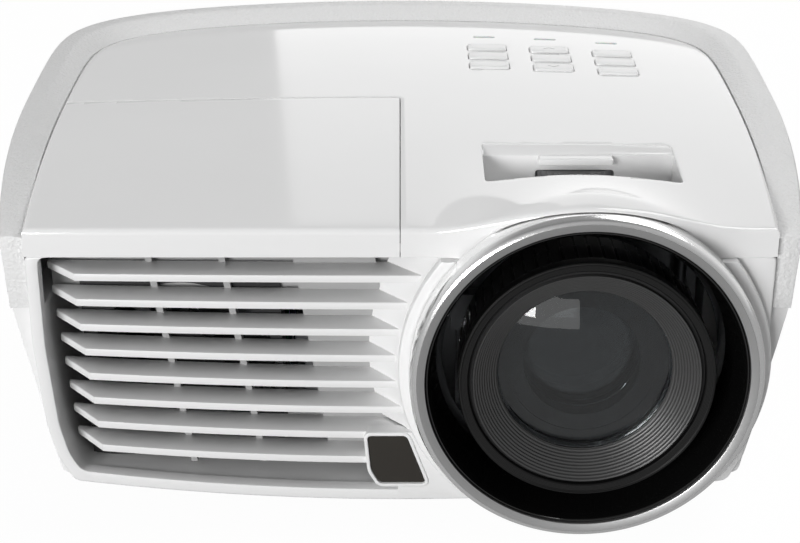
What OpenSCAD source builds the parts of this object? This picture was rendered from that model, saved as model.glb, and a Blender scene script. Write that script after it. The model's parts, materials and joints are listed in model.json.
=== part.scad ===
// Home projector with a disc player built in.
// Shells, lens, light path, disc drive, keys and feet are separate pieces.
// Each piece is drawn from the front seam: X from the middle, Y back from the front panel, Z up
// from the seam under the top cover. seat() then stands it on its feet, centred on the origin.

/* [Body] */
// Width of the front panel at its top seam
seam_w = 290; // [286:1:300]
// Depth of the top cover, from the front panel to its rear edge
body_d = 227; // [224:1:236]
// Height of the front panel in its middle, under the seam
face_h = 108; // [106:1:114]
// How far the lower corners of the front panel stand above its middle
face_bow = 9; // [7:0.5:10]
// How far each lower corner of the front panel leans in
face_lean = 12; // [10:0.5:14]
// Wall of the moulded shells
wall = 2.4; // [2:0.1:2.8]
// Running gap between shells that meet
shell_gap = 0.3; // [0.2:0.05:0.5]
// Clear height under the body
foot_h = 13; // [12:0.5:16]

/* [Top cover] */
// Height of the cover's front edge above the seam
band_h = 11; // [9:0.5:12]
// How far the cover rises from its front edge to its rear
top_rise = 25; // [21:0.5:28]
// How far its sides fall below its middle at the rear
top_crown = 4.8; // [3:0.2:6]
// How far its sides bulge past the seam
side_bulge = 4; // [2:0.5:6]
// How far the rear edge bows
rear_bow = 14; // [10:0.5:16]
// Height of the brow over the lens
brow_h = 13; // [12:0.5:14]
// Half of the brow's width
brow_w = 66; // [60:1:70]
// How far the brow comes forward
brow_proud = 8; // [5:0.5:10]

/* [Collar] */
// Half width of the collar's front ends past the seam
wing_w = 9; // [8:0.5:11]
// Width of the collar round the sides and the rear
collar_w = 17; // [16:0.5:20]
// Height of its rim over the cover at the rear
rim_h = 6; // [3:0.5:8]
// How far its front ends sit under the cover's front edge
wing_drop = 5.5; // [4:0.5:7]
// Depth of its skirt below the seam
skirt_h = 23; // [20:0.5:26]

/* [Front panel] */
// Width of the frame round the grille
frame_w = 5.8; // [5:0.2:7]
// Thickness of the front panel
panel_t = 6; // [5:0.5:7]
// Number of slats
slat_count = 8; // [7:1:9]
// Thickness of a slat at its front edge
slat_t = 2.6; // [2.2:0.1:3]
// Depth of a slat, front to back
slat_d = 12.5; // [11:0.5:14]
// Distance between the posts behind the slats
post_pitch = 27; // [24:1:30]

/* [Lens] */
// Distance from the middle to the lens axis
lens_x = 72.3; // [71:0.1:74]
// Depth of the lens axis below the seam
lens_drop = 46.2; // [45:0.1:48]
// Outer radius of the silver ring
ring_r = 69; // [68:0.5:70]
// Radius of the opening inside it
mouth_r = 63; // [62:0.5:64]
// How far the ring stands in front of the panel
ring_proud = 17.3; // [15:0.5:19]
// Outer radius of the focus ring
focus_r = 50; // [48:0.5:51]
// Wall of the focus ring
focus_wall = 4; // [3.5:0.1:4.5]
// Radius of the front glass
glass_r = 34.5; // [32:0.5:36]
// Number of grooves in the cone round the glass
groove_count = 9; // [7:1:10]
// Outer radius of the lens tube behind the carriage
tube_r = 26; // [24:0.5:27]
// How far the lens shifts up or down from its middle
shift_travel = 4; // [3:0.5:4.5]

/* [Lens shift] */
// Width of the pocket in the cover
pocket_w = 79; // [76:1:82]
// Depth of the pocket, front to back
pocket_d = 35; // [33:1:37]
// Distance from the front panel to the pocket
pocket_y = 32; // [30:1:33]
// Radius of the dial
dial_r = 21; // [20:0.5:22]
// Thickness of the dial
dial_t = 6; // [5:0.5:7]

/* [Keypad] */
// Width of a key
key_w = 18.3; // [16:0.1:19]
// Depth of a key
key_d = 8; // [7:0.1:8.6]
// Distance between key columns
key_pitch_x = 29.6; // [28:0.1:31]
// Distance between key rows
key_pitch_y = 12.8; // [12:0.1:14]
// How far a key stands out of the cover
key_proud = 1; // [0.8:0.1:1.4]
// How far a key travels
key_travel = 0.7; // [0.4:0.1:0.8]
// Gap round a key
key_gap = 0.35; // [0.25:0.05:0.5]

/* [Disc drive] */
// Width of the drive
drive_w = 128; // [126:1:130]
// Length of the drive
drive_l = 127; // [125:1:128]
// Height of the drive
drive_h = 12.7; // [12.7:0.1:13]
// Diameter of a disc
disc_dia = 120; // [80:40:120]

/* [Feet] */
// Radius of a foot
foot_r = 11; // [9:0.5:12]
// How far a foot screws out
foot_travel = 6; // [4:0.5:6.5]

/* [Hidden] */
$fn = 72;

seam_z = foot_h + face_h;              // seam above the floor
rear_d = body_d + collar_w;            // rear of the collar behind the front panel
front_y = (ring_proud - rear_d) / 2;   // front panel, with the whole object centred
lip = 0.6;                             // overlap of solids that are one moulding
cut = 1;                               // how far a cutter runs past what it cuts
hair = 0.3;                            // gap between pieces that only lie beside each other
far = 400;                             // larger than the object

// Plan outlines: straight-ish sides up to the widest place, then a rounded rear corner
wide_y = 110;                          // where the body is widest
side_steps = 8;
turn_steps = 14;
corner_power = 7;                      // the higher, the tighter the rear corners
function side_pt(i, hw, bulge) =
  let (y = wide_y * i / side_steps, t = 1 - i / side_steps) [hw + bulge * (1 - t * t), y];
function turn_pt(i, hw, bulge, depth, bow) =
  let (w = hw + bulge, u = 1 - pow(i / turn_steps, 2.2),
       s = pow(1 - pow(u, corner_power), 1 / corner_power))
  [w * u, wide_y + (depth - wide_y - bow * u * u * min(1, 2 * s)) * s];
function half_plan(hw, bulge, depth, bow) =
  concat([for (i = [0:side_steps - 1]) side_pt(i, hw, bulge)],
         [for (i = [0:turn_steps]) turn_pt(i, hw, bulge, depth, bow)]);
function mirrored(pts) = [for (i = [len(pts) - 1:-1:0]) if (pts[i][0] > 0.01) [-pts[i][0], pts[i][1]]];
function whole_plan(pts) = concat(pts, mirrored(pts));

cover_half = half_plan(seam_w / 2, side_bulge, body_d, rear_bow);
collar_bulge = side_bulge + collar_w - wing_w;
collar_half = half_plan(seam_w / 2 + wing_w, collar_bulge, rear_d, rear_bow + 4);

// The top: rises to the rear, falls to its sides, and swells over the lens
brow_l = 75;                           // how far back the brow fades out
function bell(t) = (1 + cos(180 * min(1, abs(t)))) / 2;
function brow(x, y) =
  let (f = max(0, 1 - max(0, y) / brow_l)) brow_h * bell((x - lens_x) / brow_w) * f * f;
function top_z(x, y) =
  let (t = (body_d - y) / body_d, side = x / (seam_w / 2))
  band_h + top_rise * (1 - t * t) - top_crown * max(0, y / body_d) * side * side + brow(x, y);
brow_steps = 6;                        // grid cells across half of the brow
brow_cell = brow_w / brow_steps;
grid_x = concat([for (i = [-6:-1]) i * 30], [for (i = [-brow_steps:brow_steps]) lens_x + i * brow_cell],
                [seam_w / 2 + 8, seam_w / 2 + 35]);
grid_y = concat([for (i = [-2:7]) i * brow_l / 7], [for (i = [1:7]) brow_l + i * (body_d - brow_l + 10) / 7]);

// All that lies under the top surface, dropped by some depth
module under_top(drop, floor_z = -60) {
  nx = len(grid_x);
  ny = len(grid_y);
  top = [for (y = grid_y) for (x = grid_x) [x, y, top_z(x, y) - drop]];
  bottom = [for (y = grid_y) for (x = grid_x) [x, y, floor_z]];
  n = nx * ny;
  up = [for (j = [0:ny - 2]) for (i = [0:nx - 2]) let (a = j * nx + i)
    for (f = [[a, a + nx, a + 1], [a + 1, a + nx, a + nx + 1]]) f];
  rim = concat([for (i = [0:nx - 1]) i],
               [for (j = [1:ny - 1]) j * nx + nx - 1],
               [for (i = [nx - 2:-1:0]) (ny - 1) * nx + i],
               [for (j = [ny - 2:-1:1]) j * nx]);
  walls = [for (k = [0:len(rim) - 1]) let (a = rim[k], b = rim[(k + 1) % len(rim)])
    for (f = [[a, b, n + b], [a, n + b, n + a]]) f];
  base = [for (j = [0:ny - 2]) for (i = [0:nx - 2]) let (a = n + j * nx + i)
    for (f = [[a, a + 1, a + nx], [a + 1, a + nx + 1, a + nx]]) f];
  polyhedron(points = concat(top, bottom), faces = concat(up, walls, base), convexity = 6);
}

// Places
module seat() { translate([0, front_y, seam_z]) children(); }
module on_lens(y) { translate([lens_x, y, -lens_drop]) rotate([-90, 0, 0]) children(); }
module box(lo, hi) { translate(lo) cube([hi[0] - lo[0], hi[1] - lo[1], hi[2] - lo[2]]); }
module post(p, h, r) { translate(p) cylinder(h = h, r = r); }
module pipe(h, r_out, r_in) {
  difference() {
    cylinder(h = h, r = r_out);
    translate([0, 0, -cut]) cylinder(h = h + 2 * cut, r = r_in);
  }
}

// ---- Shells ----
brow_top = 60;                         // above every point of the cover
door_y = 113;                          // rear edge of the lamp door
snout_r = ring_r + 2.5;                // the round mouth of the front panel that carries the ring
ring_d = 12;                           // depth of the silver ring
ring_back = ring_d - ring_proud;       // its rear face
flange_w = 3;                          // flange of the funnel, past the ring's opening
snout_wall = snout_r - mouth_r - flange_w - hair;
snout_back = 18;
snout_gap = 0.4;

module front_bulge() {                 // the cover's front edge comes forward over the lens
  polygon(concat([[-seam_w, 1]],
    [for (i = [-12:12]) [lens_x + i * brow_w / 12, -brow_proud * bell(i / 12)]], [[seam_w, 1]]));
}
module cover_plan() {
  polygon(whole_plan(cover_half));
  intersection() {
    front_bulge();
    translate([-seam_w / 2, -far]) square([seam_w, 2 * far]);
  }
}
module cover_solid(drop, plan_in, low) {
  intersection() {
    translate([0, 0, low]) linear_extrude(brow_top - low) offset(delta = -plan_in) cover_plan();
    under_top(drop);
  }
}
module cover_shell() {
  difference() {
    cover_solid(0, 0, 0);
    cover_solid(wall, wall, -cut);
    on_lens(-far) cylinder(h = far + ring_back + hair, r = ring_r + snout_gap);
    on_lens(-far) cylinder(h = far + panel_t, r = mouth_r + flange_w + 2 * hair);
  }
}
module door_space(gap) {
  box([-far, -far, -far], [gap, door_y + gap, far]);
}

pocket_x = lens_x + 1;
pocket_z = 7;                          // floor of the pocket above the seam
pocket_wall = 2;
dial_z = 8;
dial_show = 5;                         // how far the dial comes through the pocket's rear wall
lip_in = 7;                            // the rear wall stands this far in front of the pocket's rear edge
lip_z = 21;                            // height of the sloping lip's lower edge
pocket_back = pocket_y + pocket_d;
dial_y = pocket_back - lip_in + dial_r - dial_show;
module pocket_side(grow) {             // the pocket's outline, seen from the side
  y0 = pocket_y - grow;
  y1 = pocket_back - lip_in + grow;
  polygon([[y0, brow_top], [y0, pocket_z - grow], [y1, pocket_z - grow], [y1, lip_z],
           [y1 + 1.5, lip_z + 0.5], [pocket_back + grow, top_z(lens_x, pocket_back)],
           [pocket_back + grow, brow_top]]);
}
module pocket_block(grow) {
  translate([pocket_x - pocket_w / 2 - grow, 0, 0]) rotate([90, 0, 90])
    linear_extrude(pocket_w + 2 * grow) pocket_side(grow);
}

key_x0 = 41.3;                         // middle of the first key column
key_y0 = 186 - key_d;                  // middle of the rearmost key row
key_sweep = [0, 1.8, 5];               // how far each column steps forward
function key_at(c, r) = [key_x0 + c * key_pitch_x, key_y0 - key_sweep[c] - r * key_pitch_y];
function key_top(c, r) = let (p = key_at(c, r)) top_z(p[0], p[1]);
light_w = 10;
light_d = 1.8;
light_y = key_y0 + 18;
function light_at(c) = [key_x0 + c * key_pitch_x - 0.5, light_y - key_sweep[c]];

module top_cover() {
  color("white") difference() {
    union() {
      cover_shell();
      intersection() {
        pocket_block(pocket_wall);
        cover_solid(lip, lip, -cut);
      }
    }
    door_space(0);
    pocket_block(0);
    post([lens_x, dial_y, dial_z - hair], dial_t + 2 * hair, dial_r + 1);
    for (c = [0:2]) {
      for (r = [0:2]) {
        p = key_at(c, r);
        box([p[0] - key_w / 2 - key_gap, p[1] - key_d / 2 - key_gap, 0],
            [p[0] + key_w / 2 + key_gap, p[1] + key_d / 2 + key_gap, brow_top]);
      }
      q = light_at(c);
      box([q[0] - light_w / 2 - lip / 6, q[1] - light_d / 2 - lip / 6, 0],
          [q[0] + light_w / 2 + lip / 6, q[1] + light_d / 2 + lip / 6, brow_top]);
    }
  }
}

module lamp_door() {
  color("whitesmoke") intersection() {
    cover_shell();
    door_space(-shell_gap);
  }
}

// The collar: one moulding swept round the left, the rear and the right
rim_in = 0.5;                          // where the rim starts, from cover to outside
function blend2(a, b, t) = a + (b - a) * t;
function rim_rise(p) = -wing_drop + (wing_drop + rim_h) * min(1, pow(max(0, p[1]) / rear_d, 0.6));
function collar_section(i) =
  let (a = cover_half[i], b = collar_half[i], d = (b - a) / norm(b - a),
       q = a + d * shell_gap, m = blend2(a, b, rim_in), za = top_z(a[0], a[1]),
       rise = rim_rise(b), zr = za + rise, low = -skirt_h)
  [[q, za + min(rise, 0) - hair], [m, zr + 0.4], [b - d, zr], [b, zr - 1.5], [b - d * 1.6, low],
   [b - d * (1.6 + wall), low], [b - d * (1.2 + wall), zr - 1.2 - wall], [m, zr - wall],
   [q, za + min(rise, 0) - hair - wall]];
module collar() {
  last = len(cover_half) - 1;
  halves = [for (i = [0:last]) collar_section(i)];
  right = [for (s = halves) [for (v = s) [v[0][0], v[0][1], v[1]]]];
  left = [for (i = [last - 1:-1:0]) [for (v = right[i]) [-v[0], v[1], v[2]]]];
  rings = concat(right, left);
  k = len(rings[0]);
  n = len(rings);
  skin = [for (j = [0:n - 2]) for (i = [0:k - 1])
    let (a = j * k + i, b = j * k + (i + 1) % k)
    for (f = [[a, b, b + k], [a, b + k, a + k]]) f];
  color("gainsboro") difference() {
    union() {
      polyhedron(points = [for (r = rings) for (p = r) p],
                 faces = concat(skin, [[for (i = [0:k - 1]) i]], [[for (i = [k - 1:-1:0]) (n - 1) * k + i]]),
                 convexity = 8);
      for (s = [0, 1]) mirror([s, 0, 0]) wing_front();
    }
    box([-far, -far, -far], [far, wing_back, far]);
  }
}
wing_back = 3;                         // the wings' front faces, behind the front panel's face
wing_in = side_pt(1, seam_w / 2, side_bulge)[0] + shell_gap;
module wing_front() {
  sec = collar_section(0);
  translate([0, wing_back + wall, 0]) rotate([90, 0, 0]) linear_extrude(wall)
    polygon([[wing_in, sec[0][1]], [sec[1][0][0], sec[1][1]], [sec[2][0][0], sec[2][1]],
             [sec[3][0][0], sec[3][1]], [sec[4][0][0], sec[4][1]], [wing_in, -skirt_h]]);
}

// ---- Front panel, grille and lens mouth ----
panel_half = [[seam_w / 2, 0], [seam_w / 2, -0.36 * face_h],
  [seam_w / 2 - 0.22 * face_lean, -0.68 * face_h],
  [seam_w / 2 - 0.5 * face_lean, -face_h + face_bow + 0.1 * face_h],
  [seam_w / 2 - face_lean, -face_h + face_bow]];
function bow_at(x, hw) = face_bow * pow(x / hw, 2);
bottom_steps = 10;
function panel_bottom(up) = let (hw = seam_w / 2 - face_lean)
  [for (i = [bottom_steps - 1:-1:1 - bottom_steps]) [hw * i / bottom_steps,
    -face_h + bow_at(hw * i / bottom_steps, hw) + up]];
module panel_outline() {
  polygon(concat(panel_half, panel_bottom(0), mirrored(panel_half)));
}
mouth_corner = 4;
module grille_outline() {              // the opening inside the frame
  offset(r = mouth_corner) offset(delta = -mouth_corner - frame_w) intersection() {
    panel_outline();
    translate([-far, -far]) square([2 * far, far - 0.2]);
  }
}
// Extrude an outline of X and Z backwards from y0 to y1
module upright(y0, y1) {
  translate([0, y1, 0]) rotate([90, 0, 0]) linear_extrude(y1 - y0) children();
}
module grille_window() {
  difference() {
    intersection() {
      translate([0, frame_w - 0.4]) grille_outline();
      translate([-far, -far]) square([far + lens_x, far - 0.4]);
    }
    translate([lens_x, -lens_drop]) circle(r = snout_r - lip);
    translate([window_x, -far]) square([far, far + window_top]);
  }
}
window_x = -5;                         // the infrared window, under the slats' right ends
window_w = 19;
window_h = 22;
window_top = -78;
window_frame = 1.2;
module window_outline(grow) {
  polygon([[window_x - window_w / 2 + 1 - grow, window_top + grow],
    [window_x + window_w / 2 - 2 + grow, window_top + grow],
    [window_x + window_w / 2 + 6 + grow, window_top - window_h - grow],
    [window_x - window_w / 2 + 6 - grow, window_top - window_h - grow],
    [window_x - window_w / 2 + 2.5 - grow, window_top - window_h + 6]]);
}
module front_bezel() {
  color("white") difference() {
    union() {
      upright(0, panel_t) panel_outline();
      on_lens(ring_back) cylinder(h = snout_back - ring_back, r = snout_r);
      upright(-0.6, panel_t) window_outline(window_frame);
    }
    upright(-far, far) difference() {
      grille_window();
      window_outline(window_frame);
    }
    on_lens(-far / 2) cylinder(h = far, r = snout_r - snout_wall);
    upright(-far, far) window_outline(0);
    box([-far, -far, 0], [far, far, far]);
  }
}
module ir_window() {
  color("#28251f") upright(0, 3) window_outline(-shell_gap / 2);
}

slat_front = 1.5;                      // the slats' front edges, behind the panel's face
slat_back = slat_front + slat_d;
function slat_z(k) = -6.5 - k * (face_h - face_bow / 2 - 22) / slat_count;
function slat_bow(k) = face_bow * (k + 1) / (slat_count + 1);
module slat(k) {
  hw = seam_w / 2;
  drop = slat_bow(k);
  left = -hw + frame_w + (k + 1) * face_lean / slat_count * 0.6;
  steps = 6;
  top = [for (i = [0:steps]) let (x = left + (lens_x - left) * i / steps)
    [x, slat_z(k) - drop * (1 - pow(x / hw, 2))]];
  low = [for (i = [steps:-1:0]) [top[i][0], top[i][1] - slat_t]];
  difference() {
    upright(slat_front, slat_back) polygon(concat(top, low));
    translate([left, 0, -far / 2]) rotate([0, 0, 34]) box([-20, -20, 0], [0, 30, far]);
  }
}
post_w = 1.6;
module grille() {
  color("white") difference() {
    intersection() {
      union() {
        for (k = [0:slat_count - 1]) slat(k);
        for (x = [-seam_w / 2 + 36:post_pitch:lens_x - snout_r + 20])
          box([x, slat_back - 4, -face_h], [x + post_w, slat_back, -3]);
        box([-seam_w / 2 + 8, slat_back - lip, -32], [lens_x - snout_r + 8, slat_back + 1, -3]);
      }
      upright(-cut, slat_back + 2 * cut) offset(delta = -shell_gap) grille_window();
    }
    on_lens(-far / 2) cylinder(h = far, r = snout_r + shell_gap);
    upright(-far, far) window_outline(window_frame + shell_gap);
  }
}

// ---- Base pan ----
lower_in = 10;                         // how far the bottom's outline is inside the collar's
base_half = half_plan(seam_w / 2 + wing_w - 2, collar_bulge, rear_d - 2, rear_bow + 4);
foot_half = half_plan(seam_w / 2 - face_lean + 3, collar_bulge, rear_d - lower_in, rear_bow + 4);
module base_hull(inset) {
  hull() {
    translate([0, 0, -skirt_h - 0.2]) linear_extrude(0.2)
      offset(delta = -inset) polygon(whole_plan(base_half));
    translate([0, 0, -face_h - 0.2]) linear_extrude(0.2)
      offset(delta = -inset) polygon(whole_plan(foot_half));
  }
}
bow_hw = seam_w / 2 - face_lean;
base_reach = seam_w / 2 + 30;
function base_bow(t) = -face_h + bow_at(base_reach * t, bow_hw);
bow_steps = 12;
module over_bottom(up) {               // all that lies over the bowed bottom
  edge = [for (i = [-bow_steps:bow_steps]) [base_reach * i / bow_steps, base_bow(i / bow_steps) + up]];
  translate([0, far, 0]) rotate([90, 0, 0]) linear_extrude(2 * far)
    polygon(concat([[-base_reach, far]], edge, [[base_reach, far]]));
}
deck_z = -face_h + 12;                 // the flat level that the works stand on
base_front = panel_t + shell_gap;
drive_x1 = seam_w / 2 - 3;
drive_x0 = drive_x1 - drive_w;
drive_y0 = 68;
drive_y1 = drive_y0 + drive_l;
drive_z = deck_z + 4;
surround_x = drive_x1 + 10;            // outer face of the frame round the tray
bay_w = 150;                           // the rear bay with the sockets
bay_y = rear_d - 26;
bay_z0 = -92;
bay_z1 = -32;
rib_pitch = 20;
feet_xy = [[0, 40], [-112, 186], [112, 200]];
foot_bore = 4.05;
module foot_boss(p) { post([p[0], p[1], -face_h + lip], deck_z + face_h - lip, foot_bore + 4); }
mount_dx = 100;                        // ceiling mount screws
mount_dy = 90;
mount_y = 65;
insert_r = 2.1;
insert_wall = 3.4;
module base_pan() {
  color("whitesmoke") difference() {
    intersection() {
      union() {
        difference() {
          base_hull(0);
          intersection() {
            base_hull(wall);
            over_bottom(wall);
          }
        }
        intersection() {
          base_hull(lip);
          union() {
            for (y = [20:rib_pitch:rear_d - 20])
              box([-seam_w / 2, y, -face_h], [seam_w / 2, y + 2, deck_z]);
            for (p = feet_xy) foot_boss(p);
            for (x = [-1, 1]) for (y = [0, 1])
              post([x * mount_dx / 2, mount_y + y * mount_dy, -face_h], deck_z + face_h,
                   insert_r + insert_wall);
            box([-bay_w / 2 - wall, bay_y - wall, bay_z0 - wall], [bay_w / 2 + wall, far, bay_z1 + wall]);
          }
        }
        box([seam_w / 2 - 12, drive_y0 - 4, drive_z - 3], [surround_x, drive_y1 + 4, drive_z + drive_h + 3]);
      }
      over_bottom(0);
    }
    box([-far, -far, -far], [far, base_front, far]);
    on_lens(-far / 2) cylinder(h = far / 2 + snout_back, r = snout_r + snout_gap);
    box([-bay_w / 2, bay_y, bay_z0], [bay_w / 2, far, bay_z1]);
    box([-bay_w / 2 + 6, bay_y - 2 * wall, bay_z0 + 6], [bay_w / 2 - 6, far, bay_z1 - 6]);
    box([drive_x0, drive_y0 - 0.5, drive_z - 0.5], [far, drive_y1 + 0.5, drive_z + drive_h + 0.5]);
    for (p = feet_xy) post([p[0], p[1], -far], far + deck_z + cut, foot_bore);
    for (p = feet_xy)
      post([p[0], p[1], -face_h - cut], cut + bow_at(p[0], bow_hw) + foot_recess, foot_r + 0.5);
    for (x = [-1, 1]) for (y = [0, 1])
      post([x * mount_dx / 2, mount_y + y * mount_dy, -face_h - cut], 12, insert_r);
  }
}
module rear_panel() {
  color("dimgray") difference() {
    box([-bay_w / 2 + hair, bay_y, bay_z0 + hair], [bay_w / 2 - hair, bay_y + 1.6, bay_z1 - hair]);
    for (s = sockets) box([s[0], bay_y - cut, s[1]], [s[0] + s[2], far, s[1] + s[3]]);
  }
}
// The sockets' cut-outs: left edge, lower edge, width, height
sockets = [[-66, -84, 27, 20], [-30, -80, 15, 6], [-9, -80, 15, 6], [12, -82, 31, 12],
           [-30, -62, 48, 12], [24, -62, 34, 12]];

// ---- Lens ----
ring_flat = 2.6;                       // width of the outer bevel
module trim_ring() {
  color("silver") on_lens(-ring_proud) rotate_extrude() polygon([
    [mouth_r, 0.8], [ring_r - ring_flat, 0], [ring_r - 1.2, 0.8], [ring_r, 3], [ring_r, ring_d - hair],
    [mouth_r, ring_d - hair]]);
}
funnel_wall = 1.5;
funnel_back = 14;                      // the funnel's rear edge, behind the panel's face
funnel_gap = 0.6;
funnel_r = focus_r + shift_travel + funnel_gap;
module lens_funnel() {
  y0 = ring_back;
  y1 = -ring_proud + 2;
  color("#141414") on_lens(0) rotate_extrude() polygon([
    [mouth_r - hair, y1], [mouth_r - hair, y0], [mouth_r + flange_w, y0],
    [mouth_r + flange_w, y0 + 3], [mouth_r - 1, y0 + 3], [funnel_r + 4, 8],
    [funnel_r + funnel_wall, funnel_back], [funnel_r, funnel_back], [funnel_r + 1.5, 7],
    [mouth_r - 4.5, y0], [mouth_r - hair - funnel_wall, y1]]);
}
barrel_y = -ring_proud + 2;            // front of the focus ring
focus_l = 20;
run = 0.05;                            // radial clearance of a part that turns on another
sleeve_r = focus_r - focus_wall;
sleeve_wall = 1.6;
cone_r = sleeve_r - sleeve_wall - run;
cone_d = 9;
zoom_y = barrel_y + focus_l + 1;
zoom_l = 9;
carriage_y = 50;
carriage_t = 8;
tube_wall = 2;
tube_end = drive_y0 + 36;
grip_count = 60;
module focus_ring() {
  color("#2a2a2a") on_lens(barrel_y) difference() {
    cylinder(h = focus_l, r = focus_r);
    translate([0, 0, -cut]) cylinder(h = focus_l + 2 * cut, r = sleeve_r + run);
    for (i = [0:grip_count - 1]) rotate(i * 360 / grip_count)
      translate([focus_r, 0, 6]) cylinder(h = focus_l, r = 0.6);
  }
}
glass_seat = 1.2;                      // ledge behind the front glass
seat_d = 6;
cone_back = 8;                         // the cone's rear end behind the glass's edge
cone_y = barrel_y + 0.6;
module lens_cone() {                   // the grooved cone that carries the front glass
  step = (cone_r - glass_r) / (groove_count + 1);
  rise = cone_d / (groove_count + 1);
  face = [for (i = [0:groove_count]) for (v = [[cone_r - i * step, i * rise],
    [cone_r - i * step - step * 0.55, i * rise + rise * 0.2]]) v];
  color("#4a4a4a") on_lens(cone_y) rotate_extrude() polygon(concat(face,
    [[glass_r, cone_d], [glass_r, cone_d + seat_d], [glass_r - glass_seat, cone_d + seat_d],
     [glass_r - glass_seat, cone_d + cone_back], [cone_r, cone_d + cone_back]]));
}
module lens_element(r, dome, t) {      // a dome in front of a straight edge
  ball = (r * r + dome * dome) / (2 * dome);
  intersection() {
    cylinder(h = t + dome, r = r);
    translate([0, 0, ball]) sphere(r = ball, $fn = 96);
  }
}
module front_glass() {
  color("#50606a") on_lens(cone_y + cone_d - 5) lens_element(glass_r - run, 6, 5);
}
inner_r = 22;
module inner_glass() {
  color("#505860") on_lens(zoom_y + 2) lens_element(inner_r - run, 4, 6);
}
module zoom_ring() {
  color("#202020") on_lens(zoom_y) difference() {
    cylinder(h = zoom_l, r = focus_r - 1);
    for (i = [0:grip_count - 1]) rotate(i * 360 / grip_count)
      translate([focus_r - 1, 0, -cut]) cylinder(h = zoom_l + 2 * cut, r = 0.6);
    translate([0, 0, -cut]) cylinder(h = zoom_l + 2 * cut, r = sleeve_r + run);
  }
}
module lens_barrel() {
  bell_end = zoom_y + zoom_l + 1;
  color("#303030") difference() {
    union() {
      on_lens(barrel_y + 3) cylinder(h = bell_end - barrel_y - 3, r = sleeve_r);
      on_lens(bell_end) cylinder(h = 3, r = sleeve_r + 2);
      on_lens(bell_end) cylinder(h = carriage_y - bell_end, r = tube_r + 8);
      on_lens(carriage_y - lip) cylinder(h = tube_end - carriage_y, r = tube_r);
    }
    on_lens(barrel_y) cylinder(h = 30 - 3, r = cone_r + run);
    on_lens(barrel_y) cylinder(h = carriage_y - barrel_y, r = inner_r);
    on_lens(barrel_y) cylinder(h = far, r = tube_r - tube_wall - 4);
  }
}
rod_dx = 46;
rod_r = 2.5;
rod_y = carriage_y + carriage_t / 2;
mount_y0 = carriage_y + carriage_t + 2;
mount_t = 4;
lug_t = 4;
rod_low = deck_z + lug_t;
rod_high = -8;
module lens_carriage() {
  color("silver") difference() {
    union() {
      box([lens_x - rod_dx - 5, carriage_y, -lens_drop - 8],
          [lens_x + rod_dx + 5, carriage_y + carriage_t, -lens_drop + 8]);
      on_lens(carriage_y) cylinder(h = carriage_t, r = tube_r + 6);
      box([lens_x - nut_w / 2, carriage_y, nut_z], [lens_x + nut_w / 2, dial_y + nut_w / 2, nut_z + nut_h]);
    }
    on_lens(carriage_y - cut) cylinder(h = far, r = tube_r);
    for (s = [-1, 1]) post([lens_x + s * rod_dx, rod_y, -far], far, rod_r + run);
    post([lens_x, dial_y, -lens_drop], far, screw_r + run);
  }
}
nut_w = 12;                            // arm that carries the shift screw's nut
nut_h = 10.5;
nut_z = -lens_drop + tube_r + hair;
screw_r = 3;
shelf_z = 4;                           // top of the shelf that the dial's screw stands on
module lens_mount() {                  // fixed plate with the rods that the carriage rides on
  color("gray") difference() {
    union() {
      box([lens_x - rod_dx - 8, mount_y0, deck_z], [lens_x + rod_dx + 8, mount_y0 + mount_t, shelf_z]);
      for (s = [-1, 1]) {
        x = lens_x + s * rod_dx;
        for (z = [deck_z, rod_high]) box([x - 6, carriage_y - 2, z], [x + 6, mount_y0 + lip, z + lug_t]);
        post([x, rod_y, rod_low - lip], rod_high - rod_low + 2 * lip, rod_r);
      }
      box([lens_x - 9, mount_y0, shelf_z - lug_t], [lens_x + 9, dial_y + 8, shelf_z]);
    }
    box([lens_x - nut_w / 2 - hair, mount_y0 - cut, nut_z - far], [lens_x + nut_w / 2 + hair,
      mount_y0 + mount_t + cut, nut_z + nut_h + shift_travel + hair]);
    on_lens(mount_y0 - cut) cylinder(h = mount_t + 2 * cut, r = tube_r + shift_travel + 2);
    post([lens_x, dial_y, -lug_t], 3 * lug_t, screw_r + run);
  }
}
dial_ribs = 44;
module shift_dial() {
  color("#3a3a3a") translate([lens_x, dial_y, dial_z]) difference() {
    cylinder(h = dial_t, r = dial_r);
    for (i = [0:dial_ribs - 1]) rotate(i * 360 / dial_ribs)
      translate([dial_r, 0, -cut]) cylinder(h = dial_t + 2 * cut, r = 0.8);
    translate([0, 0, -cut]) cylinder(h = dial_t + 2 * cut, r = screw_r - 0.5);
  }
}
module shift_screw() {
  low = nut_z + shift_travel + 1;
  color("goldenrod") union() {
    post([lens_x, dial_y, dial_z - lip], dial_t + lip, screw_r - 0.5);
    post([lens_x, dial_y, shelf_z + hair], dial_z - shelf_z - hair, screw_r + 2);
    post([lens_x, dial_y, low], dial_z - low, screw_r);
  }
}

// ---- Keys and lights ----
key_low = 5;                           // how far a key's skirt reaches under the cover
key_flange = 1.2;
board_gap = 0.3;
function key_foot(c, r) = key_top(c, r) - wall - key_low;
board_z = key_foot(2, 2) - key_travel - board_gap - 4;
module key(c, r) {
  p = key_at(c, r);
  z = key_top(c, r);
  w = key_w / 2;
  d = key_d / 2;
  under = z - wall - 1.6;              // the flange stops the key under the cover
  color("white") union() {
    translate([p[0], p[1], under]) linear_extrude(z + key_proud - under)
      offset(r = 1.2) square([key_w - 2.4, key_d - 2.4], center = true);
    box([p[0] - w - key_flange, p[1] - d - key_flange, under - 1],
        [p[0] + w + key_flange, p[1] + d + key_flange, under + 0.1]);
    box([p[0] - 3, p[1] - 2, board_z + 3 + key_travel + board_gap], [p[0] + 3, p[1] + 2, under]);
  }
}
module key_menu() { key(0, 0); }
module key_up() { key(1, 0); }
module key_source() { key(2, 0); }
module key_left() { key(0, 1); }
module key_enter() { key(1, 1); }
module key_right() { key(2, 1); }
module key_auto() { key(0, 2); }
module key_down() { key(1, 2); }
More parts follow.
